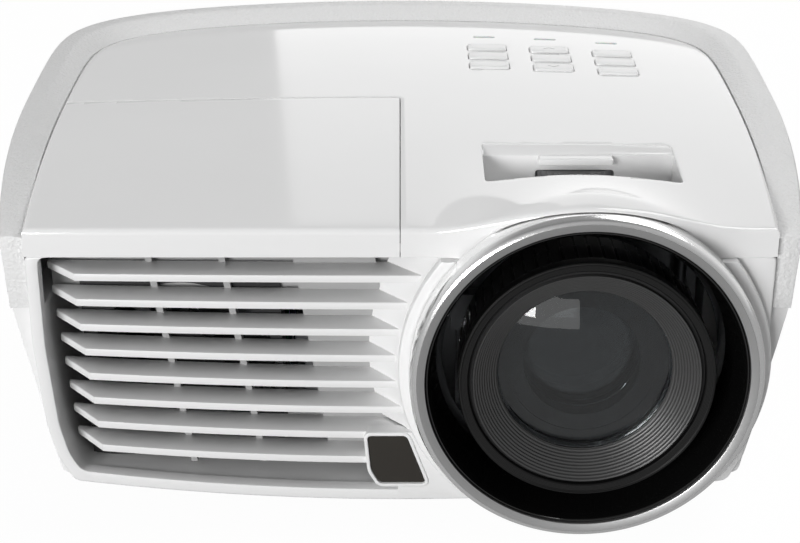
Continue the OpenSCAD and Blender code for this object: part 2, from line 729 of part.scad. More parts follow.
module key_power() { key(2, 2); }
module key_board() {                   // switch board on four posts from the works' deck
  a = key_at(0, 0);
  b = key_at(2, 2);
  color("darkgreen") union() {
    box([a[0] - 16, b[1] - 12, board_z - 1.6], [b[0] + 16, light_y + 6, board_z]);
    for (c = [0:2]) for (r = [0:2]) let (p = key_at(c, r))
      box([p[0] - 3, p[1] - 3, board_z - lip / 6], [p[0] + 3, p[1] + 3, board_z + 3]);
    for (x = [a[0] - 13, b[0] + 13]) for (y = [b[1] - 9, light_y + 3])
      post([x, y, board_z - lip], board_post_top(x, y) - board_z + lip, 2);
  }
}
function board_post_top(x, y) = top_z(x, y) - wall - 0.8;
module status_lights() {
  color("lightsteelblue") for (c = [0:2]) let (q = light_at(c), z = top_z(q[0], q[1]))
    box([q[0] - light_w / 2, q[1] - light_d / 2, board_z + hair],
        [q[0] + light_w / 2, q[1] + light_d / 2, z + 0.2]);
}

// ---- Sockets and boards ----
module socket(k, depth, hole) {
  s = sockets[k];
  difference() {
    box([s[0] + hair, bay_y - depth, s[1] + hair], [s[0] + s[2] - hair, bay_y + 2, s[1] + s[3] - hair]);
    box([s[0] + hole, bay_y - depth + 3, s[1] + hole], [s[0] + s[2] - hole, far, s[1] + s[3] - hole]);
  }
}
jack_r = 3.2;
module power_inlet() {
  s = sockets[0];
  color("black") union() {
    socket(0, 16, 2.4);
    for (x = [-5, 0, 5])
      box([s[0] + s[2] / 2 + x - 1, bay_y - 14, s[1] + s[3] / 2 - 2],
          [s[0] + s[2] / 2 + x + 1, bay_y - 2, s[1] + s[3] / 2 + 2]);
  }
}
module video_ports() {
  color("silver") {
    socket(1, 12, 0.9);
    socket(2, 12, 0.9);
    socket(3, 12, 1.6);
    socket(5, 12, 2);
  }
}
module audio_jacks() {
  s = sockets[4];
  color("gold") difference() {
    box([s[0] + hair, bay_y - 12, s[1] + hair], [s[0] + s[2] - hair, bay_y + 2, s[1] + s[3] - hair]);
    for (i = [0:3]) translate([s[0] + 6 + i * 12, bay_y + 2 + cut, s[1] + s[3] / 2])
      rotate([90, 0, 0]) cylinder(h = 12, r = jack_r);
  }
}
module main_board() {                  // upright behind the sockets
  color("darkgreen") union() {
    box([-bay_w / 2 + 8, bay_y - 18, deck_z], [bay_w / 2 - 8, bay_y - 16.4, -20]);
    box([-20, bay_y - 24, -70], [10, bay_y - 18 + lip, -45]);
    for (k = [1:5]) box([sockets[k][0] + 2, bay_y - 16.4 - lip, sockets[k][1] + 2],
      [sockets[k][0] + sockets[k][2] - 2, bay_y - 12 - hair, sockets[k][1] + sockets[k][3] - 2]);
  }
}
supply_x0 = -seam_w / 2 + 17;          // power supply board, behind the lamp
supply_x1 = supply_x0 + 104;
supply_y0 = 128;
supply_y1 = bay_y - 28;
supply_pitch = (supply_x1 - supply_x0 - 8) / 3;
module power_supply() {
  color("#556b2f") union() {
    box([supply_x0, supply_y0, deck_z], [supply_x1, supply_y1, deck_z + 2]);
    for (i = [0:2]) let (x = supply_x0 + 6 + i * supply_pitch)
      box([x, supply_y0 + 6, deck_z + 1], [x + supply_pitch - 10, supply_y1 - 6, deck_z + 32]);
    for (i = [0:2]) post([supply_x1 - 10, supply_y0 + 12 + i * 16, deck_z + 1], 24, 6);
  }
}

// ---- Light path ----
lamp_x0 = -seam_w / 2 + 13;
lamp_x1 = lamp_x0 + 70;
lamp_y0 = 46;
lamp_y1 = lamp_y0 + 68;
lamp_z = -lens_drop;
path_y = (lamp_y0 + lamp_y1) / 2;      // middle of the light path, front to back
module on_lamp(x) { translate([x, path_y, lamp_z]) rotate([0, 90, 0]) children(); }
module lamp_housing() {
  color("#2f4f4f") difference() {
    box([lamp_x0, lamp_y0, deck_z], [lamp_x1, lamp_y1, -8]);
    box([lamp_x0 + 3, lamp_y0 + 3, deck_z + 3], [lamp_x1 - 3, lamp_y1 - 3, far]);
    box([lamp_x0 - cut, lamp_y0 + 16, lamp_z - 18], [lamp_x0 + 4, lamp_y1 - 16, lamp_z + 18]);
    box([lamp_x0 + 12, lamp_y0 - cut, lamp_z - 22], [lamp_x1 - 12, lamp_y0 + 4, lamp_z + 22]);
    on_lamp(lamp_x1 - 4) cylinder(h = 6, r = 24);
  }
}
reflector_r = 29;
module lamp_reflector() {
  color("#c0c0c8") on_lamp(lamp_x1 - 3 - hair - 36) rotate_extrude() polygon(concat(
    [for (t = [4:4:36]) [8 + (reflector_r - 10) * sqrt((t - 4) / 32), t]],
    [for (t = [36:-4:4]) [10.5 + (reflector_r - 10) * sqrt((t - 4) / 32), t - 1.5]],
    [[6.6, 2.5], [6.6, 4]]));
}
module lamp_burner() {
  color("#e8e8ff") on_lamp(lamp_x1 - 3 - hair - 48) union() {
    cylinder(h = 18, r = 6.5);
    cylinder(h = 34, r = 3);
    translate([0, 0, 24]) sphere(r = 5, $fn = 48);
    translate([0, 0, -15 + lip]) cylinder(h = 15, r = 4);
  }
}
wheel_x = -48;
wheel_r = 24;
wheel_shift = 22;                      // the wheel's axis, under the light path
wheel_z = lamp_z - wheel_shift;
module colour_wheel() {
  color("#8fb0d8") translate([wheel_x, path_y, wheel_z]) rotate([0, 90, 0]) difference() {
    union() {
      cylinder(h = 1.2, r = wheel_r);
      translate([0, 0, -1.5]) cylinder(h = 3, r = 9);
    }
    translate([0, 0, -5]) cylinder(h = 10, r = 2 + run);
  }
}
module wheel_motor() {
  color("dimgray") union() {
    translate([wheel_x + 2, path_y, wheel_z]) rotate([0, 90, 0]) cylinder(h = 12, r = 10);
    translate([wheel_x - 3, path_y, wheel_z]) rotate([0, 90, 0]) cylinder(h = 6, r = 2);
    box([wheel_x + 6, path_y - 14, deck_z], [wheel_x + 12, path_y + 14, wheel_z]);
  }
}
tunnel_x1 = -4;
module light_tunnel() {
  color("silver") difference() {
    union() {
      box([wheel_x + 4, path_y - 5, lamp_z - 5], [tunnel_x1, path_y + 5, lamp_z + 5]);
      box([tunnel_x1 - 12, path_y - 14, deck_z], [tunnel_x1, path_y + 14, lamp_z - 5 + lip]);
    }
    box([wheel_x, path_y - 3, lamp_z - 3], [0, path_y + 3, lamp_z + 3]);
  }
}
engine_y0 = tube_end + 2;
engine_y1 = 176;
engine_x0 = -3;
engine_z0 = -70;
engine_z1 = -16;
module engine_housing() {
  color("#46484a") difference() {
    union() {
      box([engine_x0, path_y - 16, engine_z0], [engine_x0 + 15, engine_y1, engine_z1]);
      box([engine_x0 + 15 - lip, engine_y0, engine_z0], [lens_x + 40, engine_y1, engine_z1]);
      for (y = [100, 150]) box([engine_x0, y, deck_z], [engine_x0 + 13, y + 12, engine_z0 + lip]);
      box([40, engine_y1 - lip, engine_z0], [lens_x + 20, engine_y1 + 2, engine_z0 + 6]);
    }
    box([engine_x0 + 3, path_y - 13, engine_z0 + 3], [engine_x0 + 12, engine_y1 - 3, engine_z1 - 3]);
    box([engine_x0 + 12 - cut, engine_y0 + 3, engine_z0 + 3],
        [lens_x + 37, engine_y1 - 3, engine_z1 - 3]);
    on_lens(engine_y0 - cut) cylinder(h = 5, r = 22);
    box([engine_x0 - cut, path_y - 5, lamp_z - 5], [engine_x0 + 4, path_y + 5, lamp_z + 5]);
  }
}
module chip_board() {
  color("darkgreen") union() {
    box([lens_x - 26, engine_y1 + 2.3, -62], [lens_x + 26, engine_y1 + 3.9, -18]);
    box([lens_x - 12, engine_y1 + hair, -lens_drop - 10], [lens_x + 12, engine_y1 + 3, -lens_drop + 10]);
  }
}
fan_size = 80;
fan_x = -seam_w / 2 + 17 + fan_size / 2;
fan_z = deck_z + fan_size / 2;
fan_y = 17;
fan_t = 20;
fan_hub_r = 16;
module on_fan(y) { translate([fan_x, y, fan_z]) rotate([-90, 0, 0]) children(); }
module fan_frame() {
  half = fan_size / 2;
  color("#222222") union() {
    difference() {
      box([fan_x - half, fan_y, fan_z - half], [fan_x + half, fan_y + fan_t, fan_z + half]);
      on_fan(fan_y - cut) cylinder(h = fan_t + 2 * cut, r = half - 2);
    }
    on_fan(fan_y + fan_t - 3) cylinder(h = 3, r = fan_hub_r);
    for (a = [45:90:315]) on_fan(fan_y + fan_t - 3) rotate(a)
      translate([fan_hub_r - 2, -2, 0]) cube([half - fan_hub_r + 1, 4, 3]);
    on_fan(fan_y + 4) cylinder(h = fan_t - 5, r = 2);
  }
}
blade_count = 7;
module fan_rotor() {
  color("#303030") on_fan(fan_y + 1.5) difference() {
    union() {
      cylinder(h = fan_t - 5.5, r = fan_hub_r);
      for (i = [0:blade_count - 1]) rotate(i * 360 / blade_count) translate([0, 0, 2])
        rotate([35, 0, 0]) translate([fan_hub_r - 2, -1, -1.5])
          cube([fan_size / 2 - fan_hub_r - 1.5, 1.6, fan_t - 6]);
    }
    translate([0, 0, 1.5]) cylinder(h = fan_t, r = 2 + run);
    translate([0, 0, 9]) difference() {
      cylinder(h = fan_t, r = fan_hub_r - 1);
      cylinder(h = fan_t, r = 5);
    }
  }
}
speaker_x = -100;
speaker_y = 206;
speaker_r = 13;
module speaker() {
  color("#333333") difference() {
    post([speaker_x, speaker_y, deck_z], 14, speaker_r);
    translate([speaker_x, speaker_y, deck_z + 14]) rotate_extrude()
      polygon([[0, -3], [4, -3], [speaker_r - 2, 0], [speaker_r - 2, cut], [0, cut]]);
  }
}

// ---- Disc drive ----
case_t = 0.9;
tray_gap = 0.4;
tray_floor = drive_z + 6.3;
front_t = 4;
module drive_chassis() {               // sheet metal case on four rubber mounts
  x1 = drive_x1 - front_t - 1;
  color("silver") difference() {
    union() {
      box([drive_x0 + hair, drive_y0, drive_z], [x1, drive_y1, drive_z + drive_h]);
      for (x = [drive_x0 + 8, x1 - 12]) for (y = [drive_y0 + 14, drive_y1 - 13])
        post([x, y, deck_z], drive_z - deck_z + lip, 4);
    }
    box([drive_x0 + hair + case_t, drive_y0 + case_t, drive_z + case_t],
        [far, drive_y1 - case_t, drive_z + drive_h - case_t]);
  }
}
disc_x = drive_x1 - 66;
disc_y = (drive_y0 + drive_y1) / 2;
tray_plate = drive_z + case_t + hair;  // underside of the tray's carrier plate
plate_t = 0.8;
module disc_tray() {                   // the moulded tray and the plate under it, as one carrier
  x0 = drive_x0 + 2;
  x1 = drive_x1 - front_t;
  y0 = drive_y0 + case_t + tray_gap;
  y1 = drive_y1 - case_t - tray_gap;
  color("#2c2c2e") difference() {
    union() {
      box([x0, y0, tray_plate], [x1, y1, tray_plate + plate_t]);
      box([x0, y0, tray_plate], [x1, y0 + 1.2, tray_floor]);
      box([x0, y1 - 1.2, tray_plate], [x1, y1, tray_floor]);
      difference() {
        box([x0, y0, tray_floor - 1.6], [x1, y1, tray_floor + 1.4]);
        post([disc_x, disc_y, tray_floor], far, disc_dia / 2 + 1);
        post([disc_x, disc_y, tray_floor - 2], far, 17);
        box([disc_x - 58, disc_y - sled_w / 2 - 2, tray_floor - 2], [disc_x, disc_y + sled_w / 2 + 2, far]);
      }
    }
    post([disc_x - 42, disc_y - 40, -far], 2 * far, 8);
  }
}
button_w = 9;
button_h = 3;
button_y = drive_y1 - 22;
button_travel = 0.6;
module tray_front() {
  color("white") difference() {
    box([drive_x1 - front_t, drive_y0 + tray_gap, drive_z + tray_gap],
        [surround_x, drive_y1 - tray_gap, drive_z + drive_h - tray_gap]);
    box([drive_x1 + 4, drive_y0 + 3, drive_z + 3], [surround_x - 2, drive_y1 - 3, drive_z + drive_h - 3]);
    box([surround_x - 2 - cut, button_y - button_w / 2 - 0.3, drive_z + drive_h / 2 - button_h / 2 - 0.3],
        [far, button_y + button_w / 2 + 0.3, drive_z + drive_h / 2 + button_h / 2 + 0.3]);
  }
}
module eject_button() {
  z = drive_z + drive_h / 2;
  color("lightgray") union() {
    box([surround_x - 3.4, button_y - button_w / 2, z - button_h / 2],
        [surround_x + 0.8, button_y + button_w / 2, z + button_h / 2]);
    box([surround_x - 3.6, button_y - button_w / 2 - 1, z - button_h / 2 - 0.8],
        [surround_x - 2.4, button_y + button_w / 2 + 1, z + button_h / 2 + 0.8]);
    box([drive_x1 + 4 + button_travel + 0.2, button_y - 1, z - 1],
        [surround_x - 3.4 + lip, button_y + 1, z + 1]);
  }
}
module disc_hub() {                    // spindle motor with its disc table, on the carrier plate
  low = tray_plate + plate_t + hair;
  color("#55585c") union() {
    post([disc_x, disc_y, low], 2.4, 12);
    post([disc_x, disc_y, low + 2], 4, 7.4);
  }
}
sled_travel = 20;                      // how far the sled runs out along the disc
sled_x1 = disc_x - 16 - sled_travel;
sled_w = 20;
sled_l = 12;
module laser_sled() {
  z0 = tray_plate + plate_t + hair;
  color("#777777") union() {
    box([sled_x1, disc_y - sled_w / 2, z0], [sled_x1 + sled_l, disc_y + sled_w / 2, z0 + 2.6]);
    post([sled_x1 + sled_l / 2, disc_y, z0 + 2], 1.8, 3);
  }
}

// ---- Feet ----
stem_r = foot_bore - run;
foot_recess = 4;                       // how far a foot's wheel sits in the base
foot_thread = 1.5;                     // thread left in the base when a foot is out
foot_gap = 0.3;
pad_t = 3;
module foot_stem(k) {                  // threaded stem with its rubber pad
  p = feet_xy[k];
  low = -seam_z + pad_t - lip;
  color("#303030") union() {
    post([p[0], p[1], -seam_z], pad_t, foot_r - 2);
    post([p[0], p[1], low], -face_h + foot_recess + foot_travel + foot_thread - low, stem_r);
  }
}
module foot_wheel(k) {                 // knurled wheel that screws the stem out
  p = feet_xy[k];
  top = -face_h + bow_at(p[0], bow_hw) + foot_recess - foot_gap;
  low = -seam_z + pad_t + foot_gap;
  color("#202020") translate([p[0], p[1], 0]) difference() {
    post([0, 0, low], top - low, foot_r);
    post([0, 0, -far], 2 * far, stem_r + run);
    for (i = [0:23]) rotate(i * 15) post([foot_r, 0, -far], 2 * far, 0.6);
  }
}
module front_foot_wheel() { foot_wheel(0); }
module front_foot_stem() { foot_stem(0); }
module left_foot_wheel() { foot_wheel(1); }
module left_foot_stem() { foot_stem(1); }
module right_foot_wheel() { foot_wheel(2); }
module right_foot_stem() { foot_stem(2); }

seat() top_cover();
seat() lamp_door();
seat() collar();
seat() front_bezel();
seat() grille();
seat() base_pan();
seat() rear_panel();
seat() trim_ring();
seat() lens_funnel();
seat() focus_ring();
seat() lens_cone();
seat() front_glass();
seat() zoom_ring();
seat() inner_glass();
seat() lens_barrel();
seat() lens_carriage();
seat() lens_mount();
seat() shift_dial();
seat() shift_screw();
seat() ir_window();
seat() key_menu();
seat() key_up();
seat() key_source();
seat() key_left();
seat() key_enter();
seat() key_right();
seat() key_auto();
seat() key_down();
seat() key_power();
seat() key_board();
seat() status_lights();
seat() video_ports();
seat() audio_jacks();
seat() power_inlet();
seat() main_board();
seat() power_supply();
seat() lamp_housing();
seat() lamp_reflector();
seat() lamp_burner();
seat() light_tunnel();
seat() engine_housing();
seat() chip_board();
seat() colour_wheel();
seat() wheel_motor();
seat() fan_frame();
seat() fan_rotor();
seat() speaker();
seat() drive_chassis();
seat() disc_tray();
seat() tray_front();
seat() disc_hub();
seat() laser_sled();
seat() eject_button();
seat() front_foot_wheel();
seat() front_foot_stem();
seat() left_foot_wheel();
seat() left_foot_stem();
seat() right_foot_wheel();
seat() right_foot_stem();
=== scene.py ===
# %% [markdown]
# # A home projector with a disc player, dressed for its portrait
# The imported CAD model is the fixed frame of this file. Most of the solids inside the case stay as they
# are and only get a finish. The pieces that show are modelled again here, with smooth surfaces, rounded
# edges and fine detail, because a light that slides over a glossy shell shows every flat facet.

# %% The frame
import json
import math

import bmesh
import bpy
from mathutils import Matrix, Vector

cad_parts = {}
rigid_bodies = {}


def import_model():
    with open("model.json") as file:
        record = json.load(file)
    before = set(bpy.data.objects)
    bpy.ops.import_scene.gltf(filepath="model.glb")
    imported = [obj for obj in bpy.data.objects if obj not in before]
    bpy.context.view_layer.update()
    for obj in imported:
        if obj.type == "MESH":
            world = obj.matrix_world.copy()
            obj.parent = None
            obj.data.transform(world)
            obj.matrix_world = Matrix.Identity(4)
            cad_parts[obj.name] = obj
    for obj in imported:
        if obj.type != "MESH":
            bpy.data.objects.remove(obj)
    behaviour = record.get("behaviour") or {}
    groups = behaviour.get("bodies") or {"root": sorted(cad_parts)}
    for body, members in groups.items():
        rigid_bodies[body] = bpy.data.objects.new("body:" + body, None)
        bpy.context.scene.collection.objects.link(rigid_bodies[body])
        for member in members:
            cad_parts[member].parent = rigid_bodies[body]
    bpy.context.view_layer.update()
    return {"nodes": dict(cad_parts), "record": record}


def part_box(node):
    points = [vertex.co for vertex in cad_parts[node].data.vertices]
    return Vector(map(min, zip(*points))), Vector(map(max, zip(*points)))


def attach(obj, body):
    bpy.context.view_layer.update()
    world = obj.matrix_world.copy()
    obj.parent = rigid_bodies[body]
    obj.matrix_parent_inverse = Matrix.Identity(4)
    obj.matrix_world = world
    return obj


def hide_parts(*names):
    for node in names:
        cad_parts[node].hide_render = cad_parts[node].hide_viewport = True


for starter in list(bpy.data.objects):
    bpy.data.objects.remove(starter)
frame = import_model()
nodes = frame["nodes"]

# %% [markdown]
# ## One seam, from which everything is drawn
# A projector's shells meet in one seam under its top cover. All shapes here are drawn from that seam in
# millimetres: X from the middle, Y back from the front panel's face, Z up from the seam. One matrix then
# seats a finished mesh in the frame, in metres. The lens axis and the seam are read from CAD boxes, so
# they can't drift away from the solids.

# %% Places from the frame
MM = 0.001
ring_lo, ring_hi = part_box("trim_ring")
seam_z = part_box("front_bezel")[1].z
ring_proud = 17.3
front_y = ring_lo.y + ring_proud * MM
lens_x = (ring_lo.x + ring_hi.x) / 2 / MM
lens_drop = (seam_z - (ring_lo.z + ring_hi.z) / 2) / MM
ring_r = (ring_hi.x - ring_lo.x) / 2 / MM
SEAT = Matrix.Translation((0, front_y, seam_z)) @ Matrix.Scale(MM, 4)


def seam_box(node):
    """A CAD node's box, in millimetres from the seam."""
    back = SEAT.inverted()
    return [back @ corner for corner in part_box(node)]


print(f"lens axis {lens_x:.1f} mm right of the middle and {lens_drop:.1f} mm under the seam")

# %% [markdown]
# ## The body's outline and its crowned top
# Seen from above, a moulded case has nearly straight sides that swell a little, then tight rear corners
# and a bowed back. Such an outline comes from one formula with a high power, and every shell uses it
# with its own width and depth. Points are spread evenly along it, so that the mesh has even squares.

# %% Outlines
seam_half, face_h, face_bow, face_lean = 145.0, 108.0, 9.0, 12.0
body_d, collar_w, wing_w, skirt_h = 227.0, 17.0, 9.0, 23.0
wide_y, corner_power, turn_power = 110.0, 7, 2.2
wall, gap = 2.4, 0.3


def side_curve(half, bulge, depth, bow, t):
    """The right half of an outline: t is 0 at the front, 1 at the widest place and 2 at the rear."""
    if t <= 1:
        return Vector((half + bulge * (1 - (1 - t) ** 2), wide_y * t))
    u = 1 - (t - 1) ** turn_power
    s = (1 - u**corner_power) ** (1 / corner_power)
    reach = depth - wide_y - bow * u * u * min(1, 2 * s)
    return Vector(((half + bulge) * u, wide_y + reach * s))


def even(points, count):
    """Points at even steps along a chain."""
    lengths = [0.0]
    for a, b in zip(points, points[1:]):
        lengths.append(lengths[-1] + (b - a).length)
    picked, at = [], 0
    for k in range(count + 1):
        goal = lengths[-1] * k / count
        while at < len(points) - 2 and lengths[at + 1] < goal:
            at += 1
        span = lengths[at + 1] - lengths[at] or 1
        picked.append(points[at].lerp(points[at + 1], (goal - lengths[at]) / span))
    return picked


collar_bulge = 4 + collar_w - wing_w
SHAPES = {
    "cover": (seam_half, 4, body_d, 14),
    "collar": (seam_half + wing_w, collar_bulge, body_d + collar_w, 18),
    "base": (seam_half + wing_w - 2, collar_bulge, body_d + collar_w - 2, 18),
    "sole": (seam_half - face_lean + 3, collar_bulge, body_d + collar_w - 10, 18),
}
FINE = [k / 1500 for k in range(3001)]
corner_t = 1 + (1 - 0.5 ** (1 / corner_power)) ** (1 / turn_power)
SIDE_STEPS, REAR_STEPS = 78, 100


def outline(shape, front=None):
    """A closed outline: the front edge from left to right, the right side, the rear, the left side."""
    right = [side_curve(*SHAPES[shape], t) for t in FINE if t <= corner_t]
    rear = [side_curve(*SHAPES[shape], t) for t in FINE if t >= corner_t]
    side = even(right, SIDE_STEPS)
    half_rear = even([side[-1]] + rear, REAR_STEPS // 2)
    flip = [Vector((-p.x, p.y)) for p in half_rear]
    front_x = side[0].x
    front_edge = [Vector((-front_x + 2 * front_x * k / REAR_STEPS, 0)) for k in range(REAR_STEPS + 1)]
    if front:
        front_edge = [Vector((p.x, front(p.x))) for p in front_edge]
    back = half_rear[:-1] + flip[::-1]
    left = [Vector((-p.x, p.y)) for p in side[::-1]]
    return {"front": front_edge, "right": side, "rear": back[::-1], "left": left[::-1]}


def loop_of(edges):
    """The outline as one loop, without its doubled corners."""
    return edges["front"][:-1] + edges["right"][:-1] + edges["rear"][:0:-1] + edges["left"][:0:-1]


def inset(loop, amount):
    """Each point of a loop moved inwards, square to the loop."""
    moved = []
    for k, p in enumerate(loop):
        a, b = loop[k - 1], loop[(k + 1) % len(loop)]
        one, two = (p - a).normalized(), (b - p).normalized()
        inward = Vector((-(one + two).y, (one + two).x)).normalized()
        corner = max(0.5, abs(inward.dot(Vector((-two.y, two.x)))))
        moved.append(p + inward * amount / corner)
    return moved


# %% [markdown]
# The top rises towards the rear, falls to its sides and swells over the lens into a brow. A bell curve,
# one wave of a raised cosine, gives the brow its soft start and end. Its front edge dips a little.

# %% The top surface
band_h, top_rise, top_crown = 11.0, 25.0, 4.8
brow_h, brow_w, brow_l, brow_proud = 15.0, 66.0, 75.0, 13.0
brow_dip = 0.013


def bell(t):
    return (1 + math.cos(math.pi * min(1, abs(t)))) / 2


def top_z(x, y):
    back = (body_d - max(0, y)) / body_d
    fade = max(0, 1 - max(0, y) / brow_l)
    brow = brow_h * bell((x - lens_x) / brow_w) * fade * fade - brow_dip * min(0, y) ** 2
    crown = top_crown * max(0, y / body_d) * (x / seam_half) ** 2
    return band_h + top_rise * (1 - back * back) - crown + brow


def brow_front(x):
    return -brow_proud * bell((x - lens_x) / brow_w)


# %% [markdown]
# ## Mesh tools
# Every smooth skin starts from a flat grid of squares, whose points are then moved into place by a
# function. A closed skin is the same grid with its ends merged. This keeps all faces four-sided, which
# shades cleanly. Turned pieces come from a spun profile, and openings are cut with a boolean whose
# cutter flares at its mouth, which leaves a small rounded edge where the real mould has one.

# %% Grids, spins and cuts
NEAR = 1e-4


def skin(bm, nu, nv, place):
    """A grid of nu by nv squares, with the corner (i, j) at place(i, j)."""
    made = bmesh.ops.create_grid(bm, x_segments=nu, y_segments=nv, size=0.5)["verts"]
    for v in made:
        v.co = place(round((v.co.x + 0.5) * nu), round((v.co.y + 0.5) * nv))


def sleeve(bm, rings):
    """A skin through closed rings that all have the same count of points."""
    skin(bm, len(rings[0]), len(rings) - 1, lambda i, j: rings[j][i % len(rings[0])])


def lifted(loop, height):
    """A flat loop raised to the height of a function of x and y."""
    return [Vector((p.x, p.y, height(p.x, p.y))) for p in loop]


def tidy(bm):
    """Merge what meets, close what is open, and turn all faces outwards."""
    bmesh.ops.remove_doubles(bm, verts=bm.verts, dist=NEAR)
    rims = [e for e in bm.edges if e.is_boundary]
    if rims:
        bmesh.ops.holes_fill(bm, edges=rims, sides=0)
    bmesh.ops.recalc_face_normals(bm, faces=bm.faces)


def tidy_ends(bm):
    """Tidy, and split the flat ends that were closed by one large face."""
    tidy(bm)
    ends = [f for f in bm.faces if len(f.verts) > 4]
    bmesh.ops.triangulate(bm, faces=ends, quad_method="BEAUTY", ngon_method="BEAUTY")


def shade(mesh, sharp):
    """Smooth shading, with an edge where faces meet at more than the angle sharp."""
    mesh.shade_smooth()
    mesh.set_sharp_from_angle(angle=math.radians(sharp))


def finish_mesh(bm, name, sharp=35, seated=False):
    """The bmesh as an object at the origin, with its place in its mesh."""
    if not seated:
        bm.transform(SEAT)
    mesh = bpy.data.meshes.new(name)
    bm.to_mesh(mesh)
    bm.free()
    shade(mesh, sharp)
    piece = bpy.data.objects.new(name, mesh)
    bpy.context.scene.collection.objects.link(piece)
    return piece


def modified(piece, sharp):
    """The piece with its modifiers applied to its mesh."""
    shown = piece.evaluated_get(bpy.context.evaluated_depsgraph_get())
    mesh = bpy.data.meshes.new_from_object(shown)
    piece.modifiers.clear()
    piece.data = mesh
    shade(mesh, sharp)
    return piece


def cut(piece, cutters, operation="DIFFERENCE", sharp=35, tangled=False):
    """Boolean the piece with each cutter, and throw the cutters away. A tangled one crosses itself."""
    for k, cutter in enumerate(cutters):
        step = piece.modifiers.new(f"cut{k}", "BOOLEAN")
        step.operation, step.solver, step.object, step.use_self = operation, "EXACT", cutter, tangled
    modified(piece, sharp)
    for cutter in cutters:
        bpy.data.objects.remove(cutter)
    return piece


def turned(bm, profile, steps):
    """Spin a closed profile of (radius, y) round the lens axis."""
    x, z = lens_x, -lens_drop
    chain = [bm.verts.new((x + r, y, z)) for r, y in profile]
    edges = [bm.edges.new(pair) for pair in zip(chain, chain[1:] + chain[:1])]
    bmesh.ops.spin(bm, geom=chain + edges, cent=(x, 0, z), axis=(0, 1, 0), angle=2 * math.pi,
                   steps=steps, use_merge=True)
    bmesh.ops.remove_doubles(bm, verts=bm.verts, dist=NEAR)
    bmesh.ops.delete(bm, geom=[e for e in bm.edges if not e.link_faces], context="EDGES")
    bmesh.ops.recalc_face_normals(bm, faces=bm.faces)


def turned_piece(name, profile, steps=200, sharp=28):
    bm = bmesh.new()
    turned(bm, profile, steps)
    return finish_mesh(bm, name, sharp)


def block(bm, lo, hi):
    """A box between two corners."""
    size = Vector(hi) - Vector(lo)
    made = bmesh.ops.create_cube(bm, size=1)["verts"]
    bmesh.ops.scale(bm, vec=size, verts=made)
    bmesh.ops.translate(bm, vec=(Vector(hi) + Vector(lo)) / 2, verts=made)
    return made


def block_piece(name, *corners):
    """One or more boxes as a piece: the corners come in pairs of lowest and highest."""
    bm = bmesh.new()
    for lo, hi in zip(corners[::2], corners[1::2]):
        block(bm, lo, hi)
    return finish_mesh(bm, name)


def soften(piece, width, segments, angle, sharp):
    """Round the edges by a width in millimetres."""
    step = piece.modifiers.new("soften", "BEVEL")
    step.width, step.segments, step.limit_method = width * MM, segments, "ANGLE"
    step.angle_limit, step.profile = math.radians(angle), 0.5
    return modified(piece, sharp)


def rounded(cx, cy, w, h, r, steps=6):
    """A rounded rectangle as a loop, against the clock."""
    loop = []
    for k in range(4):
        mx = cx + (w / 2 - r) * (1 if k in (0, 3) else -1)
        my = cy + (h / 2 - r) * (1 if k in (0, 1) else -1)
        for s in range(steps + 1):
            a = math.radians(90 * k + 90 * s / steps)
            loop.append(Vector((mx + r * math.cos(a), my + r * math.sin(a))))
    return loop


def dense(loop, step):
    """More points along the long edges of a loop."""
    full = []
    for a, b in zip(loop, loop[1:] + loop[:1]):
        parts = max(1, math.ceil((b - a).length / step))
        full += [a.lerp(b, k / parts) for k in range(parts)]
    return full


def prism(loop, levels):
    """A closed column over a loop: each level is (how far the loop grows, its height at x and y)."""
    bm = bmesh.new()
    sleeve(bm, [lifted(inset(loop, -grow) if grow else loop, height) for grow, height in levels])
    tidy_ends(bm)
    return bm


def ride(piece, body, slot, *replaced, finish=None):
    """The piece moves with a body, wears the finish given, else the slot's material, and hides the CAD nodes
    it stands for.
    """
    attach(piece, body)
    piece.data.materials.clear()
    piece.data.materials.append(FINISH[finish or slot])
    if replaced:
        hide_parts(*replaced)
    return piece

# %% [markdown]
# ## Finishes
# Each finish starts from what the real part is made of. A small function adds a node with its settings
# and links, so that a material reads as a list of what it is: a colour, a roughness, and a fine relief.

# %% Helpers for materials
def linear(hex_code):
    """An sRGB hex colour as linear RGBA."""
    parts = [int(hex_code[k:k + 2], 16) / 255 for k in (1, 3, 5)]
    return tuple(c / 12.92 if c <= 0.04045 else ((c + 0.055) / 1.055) ** 2.4 for c in parts) + (1.0,)


def node(tree, kind, links=None, **settings):
    """Add a shader node: settings are its properties or the values of its sockets, links its inputs."""
    made = tree.nodes.new(kind)
    for key, value in settings.items():
        if hasattr(made, key) and key not in made.inputs:
            setattr(made, key, value)
        else:
            made.inputs[key.replace("_", " ")].default_value = value
    for key, source in (links or {}).items():
        tree.links.new(source, made.inputs[key])
    return made


def material(name, colour, **settings):
    """A material with one Principled shader, and the tree and shader to add to."""
    made = bpy.data.materials.new(name)
    made.use_nodes = True
    tree = made.node_tree
    shader = tree.nodes["Principled BSDF"]
    shader.inputs["Base Color"].default_value = linear(colour)
    for key, value in settings.items():
        shader.inputs[key.replace("_", " ")].default_value = value
    return made, tree, shader


def texture(tree, kind, size_mm, **settings):
    """A procedural texture whose features are size_mm across, in Object coordinates."""
    place = node(tree, "ShaderNodeTexCoord")
    return node(tree, kind, {"Vector": place.outputs["Object"]}, Scale=1 / (size_mm * MM), **settings)


def mapped(tree, scale, place=(0, 0, 0)):
    """Object coordinates, stretched and moved."""
    plain = node(tree, "ShaderNodeTexCoord").outputs["Object"]
    return node(tree, "ShaderNodeMapping", {"Vector": plain}, Scale=scale, Location=place).outputs["Vector"]


def relief(tree, shader, height, depth_mm):
    """A bump of depth_mm from a height output."""
    bump = node(tree, "ShaderNodeBump", {"Height": height}, Strength=1.0, Distance=depth_mm * MM)
    tree.links.new(bump.outputs["Normal"], shader.inputs["Normal"])


